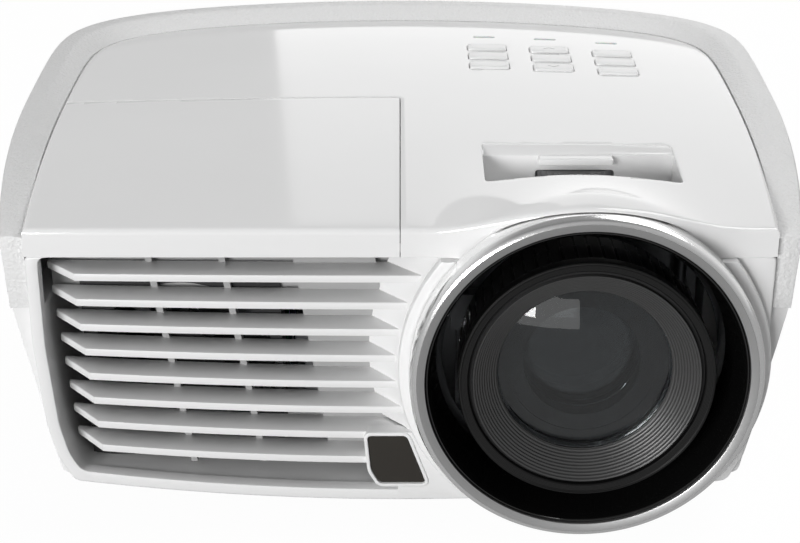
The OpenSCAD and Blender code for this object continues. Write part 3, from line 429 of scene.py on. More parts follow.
def vary(tree, shader, socket, source, low, high):
    """A socket that follows a texture between two values."""
    ramp = node(tree, "ShaderNodeMapRange", {"Value": source}, To_Min=low, To_Max=high)
    tree.links.new(ramp.outputs["Result"], shader.inputs[socket])


def tint(tree, shader, source, one, two):
    """A base colour that follows a texture between two colours."""
    mix = node(tree, "ShaderNodeMix", {"Factor": source}, data_type="RGBA")
    mix.inputs[6].default_value, mix.inputs[7].default_value = linear(one), linear(two)
    tree.links.new(mix.outputs[2], shader.inputs["Base Color"])


# %% [markdown]
# The case is ABS and polycarbonate, moulded in a polished tool on top: a smooth white with a clear
# gloss. Under the gloss the surface still has the faint waviness that all moulded plastic shows. The
# collar comes from an etched tool, whose leather-like grain has cells of 1.5 mm. The baffle behind the
# grille is painted grey: painted shade, which stands for the deep shade between the slats.

# %% White shells
def moulded(name, colour, shade, roughness, wave_mm=0.004, coat=0.0):
    made, tree, shader = material(name, colour, Roughness=roughness, IOR=1.5, Coat_Weight=coat,
                                  Coat_Roughness=0.06)
    cloud = texture(tree, "ShaderNodeTexNoise", 38, Detail=2.0)
    tint(tree, shader, cloud.outputs["Fac"], colour, shade)
    ripple = texture(tree, "ShaderNodeTexNoise", 9, Detail=1.0)
    vary(tree, shader, "Roughness", ripple.outputs["Fac"], roughness * 0.85, roughness * 1.15)
    relief(tree, shader, ripple.outputs["Fac"], wave_mm)
    return made


def grained(name, colour, shade, roughness, cell_mm, depth_mm):
    """Etched grain: cells with soft rims, as on a camera's or a car's plastic."""
    made, tree, shader = material(name, colour, Roughness=roughness, IOR=1.5)
    cells = texture(tree, "ShaderNodeTexVoronoi", cell_mm, feature="SMOOTH_F1", Smoothness=0.6)
    fine = texture(tree, "ShaderNodeTexNoise", cell_mm * 0.5, Detail=3.0)
    both = node(tree, "ShaderNodeMath", {0: cells.outputs["Distance"], 1: fine.outputs["Fac"]},
                operation="ADD")
    tint(tree, shader, fine.outputs["Fac"], colour, shade)
    vary(tree, shader, "Roughness", fine.outputs["Fac"], roughness * 0.9, roughness * 1.1)
    relief(tree, shader, both.outputs["Value"], depth_mm)
    return made


FINISH = {
    "gloss_white": moulded("polished_white_abs", "#ECECEC", "#E9E9E9", 0.08, 0.002, coat=0.3),
    "satin_white": moulded("satin_white_abs", "#E9E9E9", "#E6E6E6", 0.34),
    "grained_grey": grained("etched_grey_white_abs", "#E6E6E6", "#DDDDDD", 0.42, 1.5, 0.28),
    # The baffle's grey is painted shade for the deep shade between the slats, not the part's own colour.
    "baffle_painted_shade": moulded("painted_shade_grey_baffle", "#A6A6A6", "#9E9E9E", 0.4),
    "key_white": moulded("key_white_abs", "#EDEDED", "#EAEAEA", 0.25),
}

# %% [markdown]
# The lens ring is cast zinc under a silver lacquer, with a fine sparkle on its flat face and a polished
# bevel round it. The funnel is piano black, and the focus ring is black anodised aluminium with a soft
# sheen.

# %% Lens finishes
def lacquered_metal(name, colour, roughness, fleck_mm=0.35):
    made, tree, shader = material(name, colour, Metallic=0.9, Roughness=roughness)
    fleck = texture(tree, "ShaderNodeTexNoise", fleck_mm, Detail=2.0)
    vary(tree, shader, "Roughness", fleck.outputs["Fac"], roughness * 0.8, roughness * 1.25)
    relief(tree, shader, fleck.outputs["Fac"], 0.01)
    return made


def brushed_round(name, colour, metallic, roughness, ring_mm):
    """Turned metal or plastic: fine rings round the lens axis."""
    made, tree, shader = material(name, colour, Metallic=metallic, Roughness=roughness)
    centre = SEAT @ Vector((lens_x, 0, -lens_drop))
    shift = mapped(tree, (1, 0.0001, 1), (-centre.x, 0, -centre.z))
    rings = node(tree, "ShaderNodeTexWave", {"Vector": shift}, wave_type="RINGS",
                 rings_direction="SPHERICAL", Scale=0.31 / (ring_mm * MM), Distortion=0.4)
    relief(tree, shader, rings.outputs["Fac"], 0.006)
    vary(tree, shader, "Roughness", rings.outputs["Fac"], roughness * 0.8, roughness * 1.3)
    return made


def glass(name, colour, shade, roughness=0.0, ior=1.52):
    """Clear glass, with a coating whose tint drifts by a trace across the element."""
    made, tree, shader = material(name, colour, Transmission_Weight=1.0, Roughness=roughness, IOR=ior)
    drift = texture(tree, "ShaderNodeTexNoise", 25)
    tint(tree, shader, drift.outputs["Fac"], colour, shade)
    return made


FINISH.update({
    "ring_silver": lacquered_metal("silver_lacquered_zinc", "#B8B8B8", 0.34),
    "ring_bevel": lacquered_metal("polished_silver_bevel", "#F2F2F2", 0.18, 1.5),
    "gloss_black": moulded("piano_black_abs", "#0B0B0B", "#0D0D0D", 0.07, 0.002, 0.5),
    "lens_black": brushed_round("black_anodised_aluminium", "#0D0D0D", 0.2, 0.3, 0.5),
    "cone_grey": brushed_round("matt_black_moulded_cone", "#3C3C3C", 0.0, 0.38, 0.4),
    "baffle_black": moulded("flocked_baffle_black", "#0E0E0F", "#131314", 0.75, 0.02),
    "lens_glass": glass("coated_lens_glass", "#E4E8EA", "#DCE2E6"),
})

# %% [markdown]
# The small plastic parts are moulded too, each in its own colour. The window is a dark brown filter, the
# light bars are a milky light guide, and the dial and feet are ribbed satin plastic and soft rubber.

# %% Small plastics
FINISH.update({
    "window_dark": moulded("infrared_filter_acrylic", "#28251F", "#241F1A", 0.12, 0.002, 0.4),
    "dial_grey": moulded("dark_grey_satin_abs", "#8A8A8B", "#828283", 0.4, 0.01),
    "port_black": moulded("black_nylon_connector", "#1B1B1C", "#202021", 0.42, 0.01),
    "panel_grey": grained("etched_dark_grey_abs", "#57585A", "#505153", 0.5, 0.8, 0.05),
    "fan_black": grained("glass_filled_black_nylon", "#1A1A1B", "#232324", 0.5, 0.7, 0.03),
    "tray_black": grained("etched_black_abs_tray", "#202022", "#262628", 0.48, 0.7, 0.03),
    "foot_black": grained("black_rubber", "#1D1D1D", "#262626", 0.7, 0.5, 0.04),
})
milky, tree, shader = material("milky_light_guide", "#E3E6E4", Roughness=0.3, Transmission_Weight=0.25,
                               Subsurface_Weight=0.4, Subsurface_Scale=0.002)
cloud = texture(tree, "ShaderNodeTexNoise", 3, Detail=2.0)
tint(tree, shader, cloud.outputs["Fac"], "#E6E9E7", "#DDE0DE")
FINISH["light_pipe"] = milky

# %% [markdown]
# Inside are metals. Each keeps its own look: cast aluminium is grainy, drawn steel is streaked by the
# rolls, brass is yellow and turned, and a reflector is a nearly perfect mirror.

# %% Metals and boards
def streaked(name, colour, roughness, streak_mm=1.2):
    """Rolled or drawn metal: fine streaks along X."""
    made, tree, shader = material(name, colour, Metallic=1.0, Roughness=roughness)
    streaks = node(tree, "ShaderNodeTexNoise", {"Vector": mapped(tree, (0.04, 1, 1))},
                   Scale=1 / (streak_mm * MM), Detail=3.0)
    vary(tree, shader, "Roughness", streaks.outputs["Fac"], roughness * 0.7, roughness * 1.4)
    relief(tree, shader, streaks.outputs["Fac"], 0.008)
    return made


def circuit_board(name, mask, track):
    """Solder mask over copper tracks, which show as slightly raised lighter lines."""
    made, tree, shader = material(name, mask, Roughness=0.35, Coat_Weight=0.3, Coat_Roughness=0.15)
    tracks = texture(tree, "ShaderNodeTexBrick", 9, Mortar_Size=0.03)
    tint(tree, shader, tracks.outputs["Fac"], mask, track)
    relief(tree, shader, tracks.outputs["Fac"], 0.035)
    return made


FINISH.update({
    "brass": streaked("turned_brass", "#C9A453", 0.25),
    "port_metal": streaked("nickel_plated_steel", "#B9B8B2", 0.22, 0.8),
    "drive_steel": streaked("zinc_plated_sheet_steel", "#A9ABAD", 0.3),
    "motor_steel": streaked("bright_motor_steel", "#9C9D9F", 0.28, 0.6),
    "die_cast": lacquered_metal("die_cast_aluminium", "#8E9093", 0.45, 0.8),
    "mirror_coat": lacquered_metal("evaporated_mirror", "#D9DADC", 0.06, 2.0),
    "lamp_shell": grained("black_oxide_steel_lamp_shell", "#3A3B3C", "#333435", 0.5, 1.4, 0.03),
    "board_green": circuit_board("green_circuit_board", "#1F5B36", "#2F7A49"),
    "burner_quartz": glass("quartz_burner", "#EEF0F2", "#E6E9EC", 0.04, 1.46),
    "wheel_glass": glass("dichroic_wheel_glass", "#BFD3EC", "#D9C8EA", 0.02, 1.5),
})
for part in frame["record"]["subparts"]:
    cad = nodes[part["node"]]
    for socket in cad.material_slots:
        socket.material = FINISH[part["material_slot"]]
print("finishes:", len(FINISH), "and CAD nodes dressed:", len(nodes))

# %% [markdown]
# ## The top cover and the lamp door
# Both are one moulded surface, parted by a hair-thin seam: the door lifts off over the lamp. So one
# shell is made and cut twice. Its top is a four-sided patch stretched between the outline's edges, its
# edge is a fillet, and its inside follows at the wall's thickness, which makes it a closed solid.

# %% One shell for both
def patch(loop, i, j):
    """A point inside a four-sided outline, after Coons: blend the edges and take away the corners."""
    a, b = i / REAR_STEPS, j / SIDE_STEPS
    front, rear = loop[i], loop[2 * REAR_STEPS + SIDE_STEPS - i]
    right, left = loop[REAR_STEPS + j], loop[-j]
    corner = [loop[0], loop[REAR_STEPS], loop[2 * REAR_STEPS + SIDE_STEPS], loop[REAR_STEPS + SIDE_STEPS]]
    edges = front * (1 - b) + rear * b + left * (1 - a) + right * a
    return edges - (corner[0] * (1 - a) + corner[1] * a) * (1 - b) - (corner[2] * (1 - a) + corner[3] * a) * b


def spread(bm, edge, height):
    """A skin stretched over an outline, raised to a height that depends on x and y."""
    skin(bm, REAR_STEPS, SIDE_STEPS, lambda i, j: lifted([patch(edge, i, j)], height)[0])


def shell_mesh(loop, rings, top, under):
    """A closed shell: a top skin, rings down its side and up its inside, and a skin under the top."""
    bm = bmesh.new()
    spread(bm, inset(loop, rings[0][0]), top)
    spread(bm, inset(loop, rings[-1][0]), under)
    sleeve(bm, [lifted(inset(loop, amount) if amount else loop, height) for amount, height in rings])
    tidy(bm)
    return bm


edge_r = 1.8
FILLET = [(edge_r * (1 - math.sin(math.radians(a))), edge_r * (1 - math.cos(math.radians(a))))
          for a in (0, 22.5, 45, 67.5, 90)]
cover_loop = loop_of(outline("cover", brow_front))
cover_rings = [(amount, lambda x, y, d=drop: top_z(x, y) - d) for amount, drop in FILLET]
cover_rings += [(0, lambda x, y: 4.0), (0, lambda x, y: 0.0), (wall, lambda x, y: 0.0),
                (wall, lambda x, y: top_z(x, y) - wall)]


def cover_shell(name):
    return finish_mesh(shell_mesh(cover_loop, cover_rings, top_z, lambda x, y: top_z(x, y) - wall), name)


# %% [markdown]
# The cutters follow the crowned top, so that the small rounding at an opening's mouth is the same all
# round. The lens needs a stepped round cutter: the ring's body in front and the funnel's flange behind.

# %% Cutters
over_all, under_cover = 60.0, -5


def on_top(lift):
    return lambda x, y: top_z(x, y) + lift


def flat(z):
    return lambda x, y: z


def well(loop, soft=0.4, step=2.0, way=1):
    """A column that cuts an opening into the top, with a soft mouth: way -1 makes it a plug instead."""
    return finish_mesh(prism(dense(loop, step), [
        (0, flat(under_cover)), (0, on_top(-soft)), (way * soft * 0.3, on_top(-soft * 0.3)),
        (way * soft, on_top(0.04)), (way * soft, flat(over_all))]), "cutter")


def round_cutter(steps, count=180):
    """A solid turned round the lens axis from (radius, y) steps."""
    return turned_piece("cutter", [(0, steps[0][1])] + steps + [(0, steps[-1][1])], count, 35)


def mouth_cutter():
    return round_cutter([(ring_r + 0.4, -60), (ring_r + 0.4, -5), (66.6, -5), (66.6, 6)])


door_y, door_corner = 113.0, 1.6
door_hole = rounded(-100, door_y - 100, 200, 200, door_corner)
door_plan = rounded(-100 - gap, door_y - 100 - gap, 200, 200, door_corner - gap)
lamp_door = cut(cover_shell("lamp_door_shell"), [well(door_plan, way=-1)], "INTERSECT")
cut(lamp_door, [mouth_cutter()])
ride(lamp_door, "lamp_door", "gloss_white", "lamp_door")
print("lamp door:", len(lamp_door.data.polygons), "faces")

# %% [markdown]
# ## The lens shift pocket
# A finger reaches into a pocket over the lens and turns a ribbed dial, which shifts the lens up or
# down. The pocket has a front wall, a floor, a rear wall with a slot for the dial, and a sloping lip.
# It's a column over its mouth whose rear side is pulled in below the lip. The same column, a wall's
# thickness larger, is joined to the cover first and then hollowed.

# %% The pocket in the cover
pocket_w, pocket_d, pocket_y, pocket_floor = 79.0, 35.0, 32.0, 7.0
pocket_x = lens_x + 1
pocket_back = pocket_y + pocket_d
wall_y, lip_z, tub_wall = pocket_back - 7, 21.0, 1.6
dial_lo, dial_hi = seam_box("shift_dial")
pocket_hole = dense(rounded(pocket_x, pocket_y + pocket_d / 2, pocket_w, pocket_d, 2.0), 2.0)


def pocket_column(grow, levels, name="pocket"):
    """A column over the pocket's mouth. Each level is (share of the lip's depth, growth, height)."""
    bm = bmesh.new()
    rings = []
    for share, more, height in levels:
        ring = inset(pocket_hole, -(grow + more)) if grow + more else pocket_hole
        edge = wall_y + grow
        pulled = [p if p.y < edge else Vector((p.x, edge + (p.y - edge) * share)) for p in ring]
        rings.append(lifted(pulled, height))
    sleeve(bm, rings)
    tidy(bm)
    return finish_mesh(bm, name)


def under_top(limit, below):
    return lambda x, y: min(limit, top_z(x, y) - below)


inside = [(0.0, -2.2, flat(pocket_floor)), (0.0, -0.7, flat(pocket_floor + 0.6)),
          (0.0, 0, flat(pocket_floor + 2)), (0.0, 0, under_top(lip_z - 1.6, 1.6)),
          (0.03, 0, under_top(lip_z - 0.4, 1.0)), (0.2, 0, under_top(lip_z + 0.4, 0.6)),
          (1.0, 0, on_top(-0.45)), (1.0, 0.15, on_top(-0.15)), (1.0, 0.45, on_top(0.03)),
          (1.0, 0.45, flat(over_all))]
outside = [(0.0, 0, flat(pocket_floor - tub_wall)), (0.0, 0, under_top(lip_z - 2.4, 2.2)),
           (0.2, 0, under_top(lip_z - 1.2, 1.8)), (1.0, 0, on_top(-1.2))]
tub = pocket_column(tub_wall, outside, "tub")

# %% [markdown]
# The ribbed dial looks through a slot in the pocket's rear wall, under a small shelf. Both are boxes
# with all their edges rounded: the slot is cut out, and the shelf is joined to the cover.

# %% Slot and shelf
dial_x = (dial_lo.x + dial_hi.x) / 2


def rounded_block(lo, hi, width, name, segments=4):
    """A box with all its edges rounded."""
    bm = bmesh.new()
    block(bm, lo, hi)
    bmesh.ops.bevel(bm, geom=bm.edges[:], offset=width, offset_type="OFFSET", segments=segments, profile=0.5,
                    affect="EDGES", material=-1)
    return finish_mesh(bm, name)


slot_half, shelf_half = 16.4, 15.5
slot = rounded_block((dial_x - slot_half, wall_y - 2, pocket_floor + 0.2),
                     (dial_x + slot_half, wall_y + 20, dial_hi.z + 0.4), 1.4, "slot")
shelf = rounded_block((dial_x - shelf_half, wall_y - 5.2, lip_z - 3.2),
                      (dial_x + shelf_half, wall_y + 1.4, lip_z - 0.2), 1.0, "shelf")

# %% [markdown]
# ## Wells for the keys and lights
# Each of the nine keys stands in a rectangular well with small round corners, and each light in a slot.

# %% Places of keys and lights
KEY_NODES = [["key_menu", "key_left", "key_auto"], ["key_up", "key_enter", "key_down"],
             ["key_source", "key_right", "key_power"]]
key_w, key_d, key_gap = 18.3, 8.0, 0.35
light_w, light_d = 10.0, 1.8


def key_at(column, row):
    lo, hi = seam_box(KEY_NODES[column][row])
    return Vector(((lo.x + hi.x) / 2, (lo.y + hi.y) / 2))


def light_at(column):
    return key_at(column, 0) + Vector((-0.5, 18.0))


wells = [well(rounded(*key_at(c, r), key_w + 2 * key_gap, key_d + 2 * key_gap, 1.5), 0.25, 3.0)
         for c in range(3) for r in range(3)]
slots = [well(rounded(*light_at(c), light_w + 0.2, light_d + 0.2, 0.4), 0.12, 3.0) for c in range(3)]
top_cover = cover_shell("top_cover_shell")
door_notch = well(door_hole)
cut(top_cover, [tub], "UNION")
cut(top_cover, [mouth_cutter()])
cut(top_cover, [door_notch, pocket_column(0, inside), slot] + wells + slots)
cut(top_cover, [shelf], "UNION")
ride(top_cover, "body", "gloss_white", "top_cover")
print("top cover:", len(top_cover.data.polygons), "faces")

# %% [markdown]
# ## The grained collar
# One moulding runs in a U round the left, the rear and the right. It's a sweep: the same rounded
# section stands at every station between the cover's outline and its own, low at the front where the
# wings end, and rising above the cover towards the rear. Corners of the section are eased by short
# curves, since a moulded edge catches a thin line of light.

# %% The collar
wing_drop, rim_h, wing_back = 5.5, 6.0, 3.0
cover_edges, collar_edges = outline("cover"), outline("collar")


def eased(points, radii, steps=3):
    """A chain whose inner corners are replaced by short curves."""
    chain = [points[0]]
    for k in range(1, len(points) - 1):
        p, r = points[k], radii[k - 1]
        a = p + (points[k - 1] - p).normalized() * r
        b = p + (points[k + 1] - p).normalized() * r
        for s in range(steps + 1):
            t = s / steps
            chain.append(a * (1 - t) ** 2 + p * 2 * t * (1 - t) + b * t * t)
    return chain + [points[-1]]


def collar_section(a, b):
    """The section between a point a of the cover and a point b of the collar's outside."""
    d = (b - a).normalized()
    level = top_z(a.x, a.y)
    rise = -wing_drop + (wing_drop + rim_h) * min(1, max(0, b.y / (body_d + collar_w)) ** 0.6)
    rim = level + rise
    at = lambda q, z: Vector((q.x, q.y, z))
    outer = [at(a + d * gap, -skirt_h + 0.2), at(a + d * gap, level + min(rise, 0) - gap),
             at((a + b) / 2, rim + 0.4), at(b - d * 0.8, rim + 0.1), at(b, rim - 1.4),
             at(b - d * 1.6, -skirt_h)]
    return eased(outer, [0.25, 1.6, 0.5, 0.7])


def round_path(edges):
    """From the right front corner round the rear to the left front corner, starting behind the panel."""
    whole = edges["right"] + edges["rear"][::-1][1:-1] + edges["left"][::-1]
    kept = [p for p in whole if p.y > wing_back + 1.2]
    return [Vector((edges["right"][1].x, wing_back))] + kept + [Vector((edges["left"][1].x, wing_back))]


bm = bmesh.new()
sections = [collar_section(a, b) for a, b in zip(round_path(cover_edges), round_path(collar_edges))]
sleeve(bm, sections)
tidy(bm)
collar = finish_mesh(bm, "collar_moulding", 40)
soften(collar, 0.7, 3, 65, 40)
ride(collar, "body", "grained_grey", "collar")
print("collar:", len(sections), "stations,", len(collar.data.polygons), "faces")

# %% [markdown]
# ## The front panel
# The panel is a flat plate under the cover, with a bowed lower edge, a window for the grille, a round
# flange for the lens and a small infrared window. Plates like this are columns over an outline of X and
# Z that are then tipped forward by a quarter turn. Cutters flare at the front, so each opening gets the
# soft rim of a moulding.

# %% Upright plates
TIP = Matrix.Rotation(math.radians(90), 4, "X")


def plate(loop, levels, name="plate", sharp=35):
    """A column over a loop of (x, z): each level is (how far the loop grows, y)."""
    bm = prism(loop, [(grow, lambda x, z, y=y: -y) for grow, y in levels])
    bm.transform(TIP)
    return finish_mesh(bm, name, sharp)


def softened(y0, y1, r, grow=0.0):
    """Levels from the back y1 to the front y0, with the front edge rounded by r."""
    arc = [(grow - r * (1 - math.cos(math.radians(a))), y0 + r * (1 - math.sin(math.radians(a))))
           for a in (0, 30, 60, 90)]
    return [(grow, y1)] + arc


def flared(y0, y1, r=0.5):
    """Levels of a cutter from behind y1 to before y0, wider at the front face y0."""
    return [(0, y1), (0, y0 + r), (r * 0.3, y0 + r * 0.3), (r, y0 - 0.02), (r, y0 - 20)]


def closed_eased(loop, radius, steps=4):
    """A closed loop with all its corners eased."""
    start = (loop[0] + loop[-1]) / 2
    chain = eased([start] + list(loop) + [start], [radius] * len(loop), steps)
    return chain[:-1]


# %% [markdown]
# The outline is symmetric: the sides fall straight, then lean in, and the lower edge sags in the middle.

# %% The panel's outline
foot_half, foot_z = seam_half - face_lean, -face_h + face_bow
half_panel = [(seam_half, 0), (seam_half, -0.36 * face_h), (seam_half - 0.22 * face_lean, -0.68 * face_h),
              (seam_half - 0.5 * face_lean, foot_z + 0.1 * face_h), (foot_half, foot_z)]
sag = [(foot_half * k / 12, -face_h + face_bow * (k / 12) ** 2) for k in range(-11, 12)]
panel_loop = [Vector((-x, z)) for x, z in half_panel] + [Vector(p) for p in sag + half_panel[::-1]]
panel_smooth = dense(closed_eased(panel_loop, 2.5), 4)
frame_w = 5.0
opening = [Vector((p.x, -0.4 if p.y > -8 else p.y)) for p in inset(panel_loop, frame_w)]
opening = dense(closed_eased(opening, 3.5), 4)
window_x, window_w, window_h, window_top = -5.0, 19.0, 22.0, -78.0
window_l, window_r, window_foot = window_x - window_w / 2, window_x + window_w / 2, window_top - window_h
window_loop = [Vector(p) for p in ((window_l + 1, window_top), (window_l + 2.5, window_foot + 6),
                                   (window_l + 6, window_foot), (window_r + 6, window_foot),
                                   (window_r - 2, window_top))]
window_eased = dense(closed_eased(window_loop, 1.8), 2)
snout_r = 73.3

# %% [markdown]
# The flange round the lens is turned, joined to the plate and cut off at the seam, where the cover's brow
# takes over.

# %% The panel
bezel = plate(panel_smooth, softened(0, 6, 0.9), "front_panel")
cut(bezel, [round_cutter([(67.0, -40), (67.0, 40)], 191)])
flange = turned_piece("flange", [(66.6, 16), (66.6, -3.2), (67.4, -4.6), (69.2, -5.3), (72.2, -5.3),
                                 (72.9, -5.05), (snout_r, -4.3), (snout_r, 16)], sharp=35)
proud = plate(window_eased, softened(-0.7, 6, 0.6, 1.5), "window_frame")
cut(bezel, [flange], "UNION")
cut(bezel, [proud], "UNION")


def through(loop, name, y0=-40, y1=60):
    """A plate that reaches from before the panel to far behind it."""
    return plate(loop, [(0, y1), (0, y0)], name)


def clearance(growth):
    """What the lens flange and the infrared window keep free of the grille."""
    room_r = snout_r + 0.25 + max(growth, -0.1)
    lens_room = round_cutter([(room_r, -40), (room_r, 60)], 187)
    right_room = block_piece("right_room", (lens_x, -40, -200), (220, 60, 20))
    window_room = through(inset(window_eased, -1.5 - growth), "window_room")
    corner_room = block_piece("corner_room", (window_x + 4, -40, -200),
                              (lens_x + 20, 60, window_top + 1.4 + growth))
    return [lens_room, right_room, window_room, corner_room]


grille_cutter = plate(opening, flared(0, 20), "grille_cutter")
cut(grille_cutter, clearance(0))
window_cutter = plate(window_eased, flared(-0.7, 20, 0.4), "window_cutter")
above = block_piece("above", (-300, -60, -0.12), (300, 60, 60))
cut(bezel, [window_cutter, grille_cutter, above], tangled=True)
ride(bezel, "body", "satin_white", "front_bezel")
print("front panel:", len(bezel.data.polygons), "faces")

# %% [markdown]
# ## The infrared window
# A dark brown plastic that lets infrared light through, with a softly rounded edge.

# %% The window
window = plate(inset(window_eased, 0.15), [(0, 3), (0, 0.35), (-0.2, 0.1), (-0.6, 0.0)],
               "infrared_window", 20)
ride(window, "body", "window_dark", "ir_window")

# %% [markdown]
# ## The slatted grille
# Eight slats sag a little more from row to row. Each is a column over its outline seen from above: the
# front edge runs from a bend near the left end to the lens flange, and left of the bend it slants back
# to the inner wall. The levels of the column follow the sag and round the slat's nose.

# %% Slats
slat_count, slat_t, slat_front, slat_back = 8, 3.2, 1.5, 16.0
slat_top, slat_pitch = -7.4, (face_h - face_bow / 2 - 22) / slat_count + 0.25
bend_x, tip_x = -126.6, -139.4


def slat_height(k, x):
    """The height of a slat's upper side: the rows are counted from 0 at the top."""
    drop = face_bow * (k + 1) / (slat_count + 1)
    return slat_top - k * slat_pitch - drop * (1 - (x / seam_half) ** 2)


def slat_loop(k):
    """A slat from above, against the clock: its rear edge lies behind, its front edge is the nose."""
    bend, tip = bend_x + 0.95 * max(0, k - 1), tip_x + 0.9 * k
    return dense([Vector(p) for p in ((tip, slat_back), (tip, slat_back - 1.8), (bend, slat_front),
                                      (lens_x - 20, slat_front), (lens_x - 20, slat_back))], 5)


SLAT_LEVELS = [(-0.5, slat_t), (-0.15, slat_t - 0.15), (0, slat_t - 0.5), (0, 0.5), (-0.15, 0.15),
               (-0.5, 0.0)]
rows = []
for k in range(slat_count):
    levels = [(grow, lambda x, y, drop=drop: slat_height(k, x) - drop) for grow, drop in SLAT_LEVELS]
    rows.append(finish_mesh(prism(slat_loop(k), levels), f"slat_{k}"))

# %% [markdown]
# Behind the slats stand thin slanting posts. A plate closes the upper two rows and another the right end;
# their grey is painted shade. A white cone runs back from the lens flange behind the slats' right ends.

# %% Posts, plate and cone
def leaning_post(x_top, lean=13.0, w=2.6, back=4.0):
    bm = bmesh.new()
    for v in block(bm, (x_top, slat_back - 1.5, -98), (x_top + w, slat_back + back, -3)):
        v.co.x += lean * -v.co.z / 85
    return finish_mesh(bm, "post")


posts = [leaning_post(x) for x in (-102.0, -73.0, -43.5)] + [leaning_post(-41.0, w=30, back=2.0)]
baffle = block_piece("grille_baffle", (-139, slat_back + 2.5, -22), (-3, slat_back + 5.5, -2))
shroud = turned_piece("lens_shroud", [(snout_r - 1, 0.5), (snout_r + 0.2, 0.5), (snout_r + 13, slat_back),
                                      (snout_r + 11.6, slat_back)], sharp=35)
beside = block_piece("beside", (lens_x - 10, -40, -300), (300, 60, 60), (-300, -40, -1.5), (300, 60, 60))
cut(shroud, [beside, through(inset(window_eased, -1.9), "window_room")])
slats = rows[0]
cut(slats, rows[1:], "UNION")
cut(baffle, posts, "UNION")
for piece in (slats, baffle, shroud):
    cut(piece, [through(inset(opening, 0.3), "inside", -20, 40)], "INTERSECT")
cut(slats, clearance(-1.5))
slats.name = "grille_slats"
ride(slats, "body", "satin_white", "grille")
# The baffle, its posts and its end plate wear a grey that is painted shade.
ride(baffle, "body", "satin_white", finish="baffle_painted_shade")
ride(shroud, "body", "satin_white")
print("grille:", len(slats.data.polygons), "faces")

# %% [markdown]
# ## The base
# The lower shell leans in from the collar's outline to a smaller sole, and its floor bows down in the
# middle. It's a loft between two outlines of the same count of points, with a rounded lower edge. A
# room the shape of the grille, the hall behind it, the rear bay, the drive's mouth and the feet's
# recesses are cut out of it.

# %% The loft
base_front, sole_drop = 6.3, face_h + 0.2


def floor_z(x):
    return -face_h + face_bow * (x / foot_half) ** 2


wide_loop, sole_loop = loop_of(outline("base")), loop_of(outline("sole"))


def base_ring(grow, height):
    """The base's outline at a height above the floor's edge (if below zero, under the collar)."""
    ring = []
    for a, b in zip(wide_loop, sole_loop):
        z = -skirt_h - 0.2 + height if height <= 0 else floor_z(b.x) + height
        ring.append((a.lerp(b, (-skirt_h - 0.2 - z) / (sole_drop - skirt_h - 0.2)), z))
    moved = inset([p for p, _ in ring], -grow) if grow else [p for p, _ in ring]
    return [Vector((p.x, max(p.y, base_front), z if height <= 0 else floor_z(p.x) + height))
            for p, (_, z) in zip(moved, ring)]


levels = [(-0.8, 0), (-0.2, -0.2), (0, -0.8), (0, -18), (0, 45), (0, 22), (0, 2.4), (-0.32, 1.2),
          (-1.0, 0.4), (-2.2, 0.02)]
rings = [base_ring(*level) for level in levels]
bm = bmesh.new()
sleeve(bm, rings)
spread(bm, [p.to_2d() for p in rings[-1]], lambda x, y: floor_z(x) + levels[-1][1])
tidy_ends(bm)
base = finish_mesh(bm, "base_shell")
print("base:", len(base.data.polygons), "faces")

# %% [markdown]
# The disc tray leaves through a proud rectangular frame on the right side, low enough for its standard
# slim drive. The frame's outer edges are rounded by 1.8 mm, its mouth by 0.6 mm.

# %% Openings in the base
deck_z = -face_h + 12
drive_lo, drive_hi = seam_box("drive_chassis")
front_lo, front_hi = seam_box("tray_front")
tray_mouth = (drive_lo.y - 0.4, drive_hi.y + 0.4, drive_lo.z - 0.5, drive_hi.z + 0.5)
surround = rounded_block((seam_half - 14, tray_mouth[0] - 3.6, tray_mouth[2] - 2.6),
                         (seam_half + 7, tray_mouth[1] + 3.6, tray_mouth[3] + 2.6), 1.8, "surround")
cut(base, [surround], "UNION")
room = through(inset(opening, -0.4), "room", -20, 64)
drive_room = rounded_block((drive_lo.x - 1, tray_mouth[0], tray_mouth[2]),
                           (seam_half + 30, tray_mouth[1], tray_mouth[3]), 0.6, "drive_room")
bay_lo, bay_hi = seam_box("rear_panel")
hall = rounded_block((-seam_half + 14, 30, deck_z), (seam_half - 14, bay_lo.y - 5, 20), 3.0, "hall")
bay = rounded_block((bay_lo.x - 0.3, bay_lo.y, bay_lo.z - 0.3), (bay_hi.x + 0.3, 300, bay_hi.z + 0.3),
                    2.0, "bay")
lens_room = round_cutter([(snout_r + 0.6, -40), (snout_r + 0.6, 18)])
foot_rooms = []
for name in ("front_foot_wheel", "left_foot_wheel", "right_foot_wheel"):
    lo, hi = seam_box(name)
    bm = bmesh.new()
    made = bmesh.ops.create_cone(bm, cap_ends=True, segments=96, radius1=11.8, radius2=11.5, depth=40)
    centre = ((lo.x + hi.x) / 2, (lo.y + hi.y) / 2, -face_h - 16)
    bmesh.ops.translate(bm, vec=centre, verts=made["verts"])
    foot_rooms.append(finish_mesh(bm, "foot_room"))
cut(base, [room, hall, drive_room, bay, lens_room] + foot_rooms)
ride(base, "body", "satin_white", "base_pan")
print("base with its openings:", len(base.data.polygons), "faces")

# %% [markdown]
# ## The lens, from the outside in
# All of these pieces are turned, so each one is a profile spun round the lens axis. First comes the
# silver ring, in two pieces: a narrow grainy flat that faces forward and a polished bevel round it.

# %% Silver ring and black funnel
def smooth_profile(points, radii, steps=4):
    """A closed profile of (radius, y) with eased corners."""
    start = (Vector(points[0]) + Vector(points[-1])) / 2
    chain = eased([start] + [Vector(p) for p in points] + [start], radii, steps)
    return [tuple(p) for p in chain[:-1]]


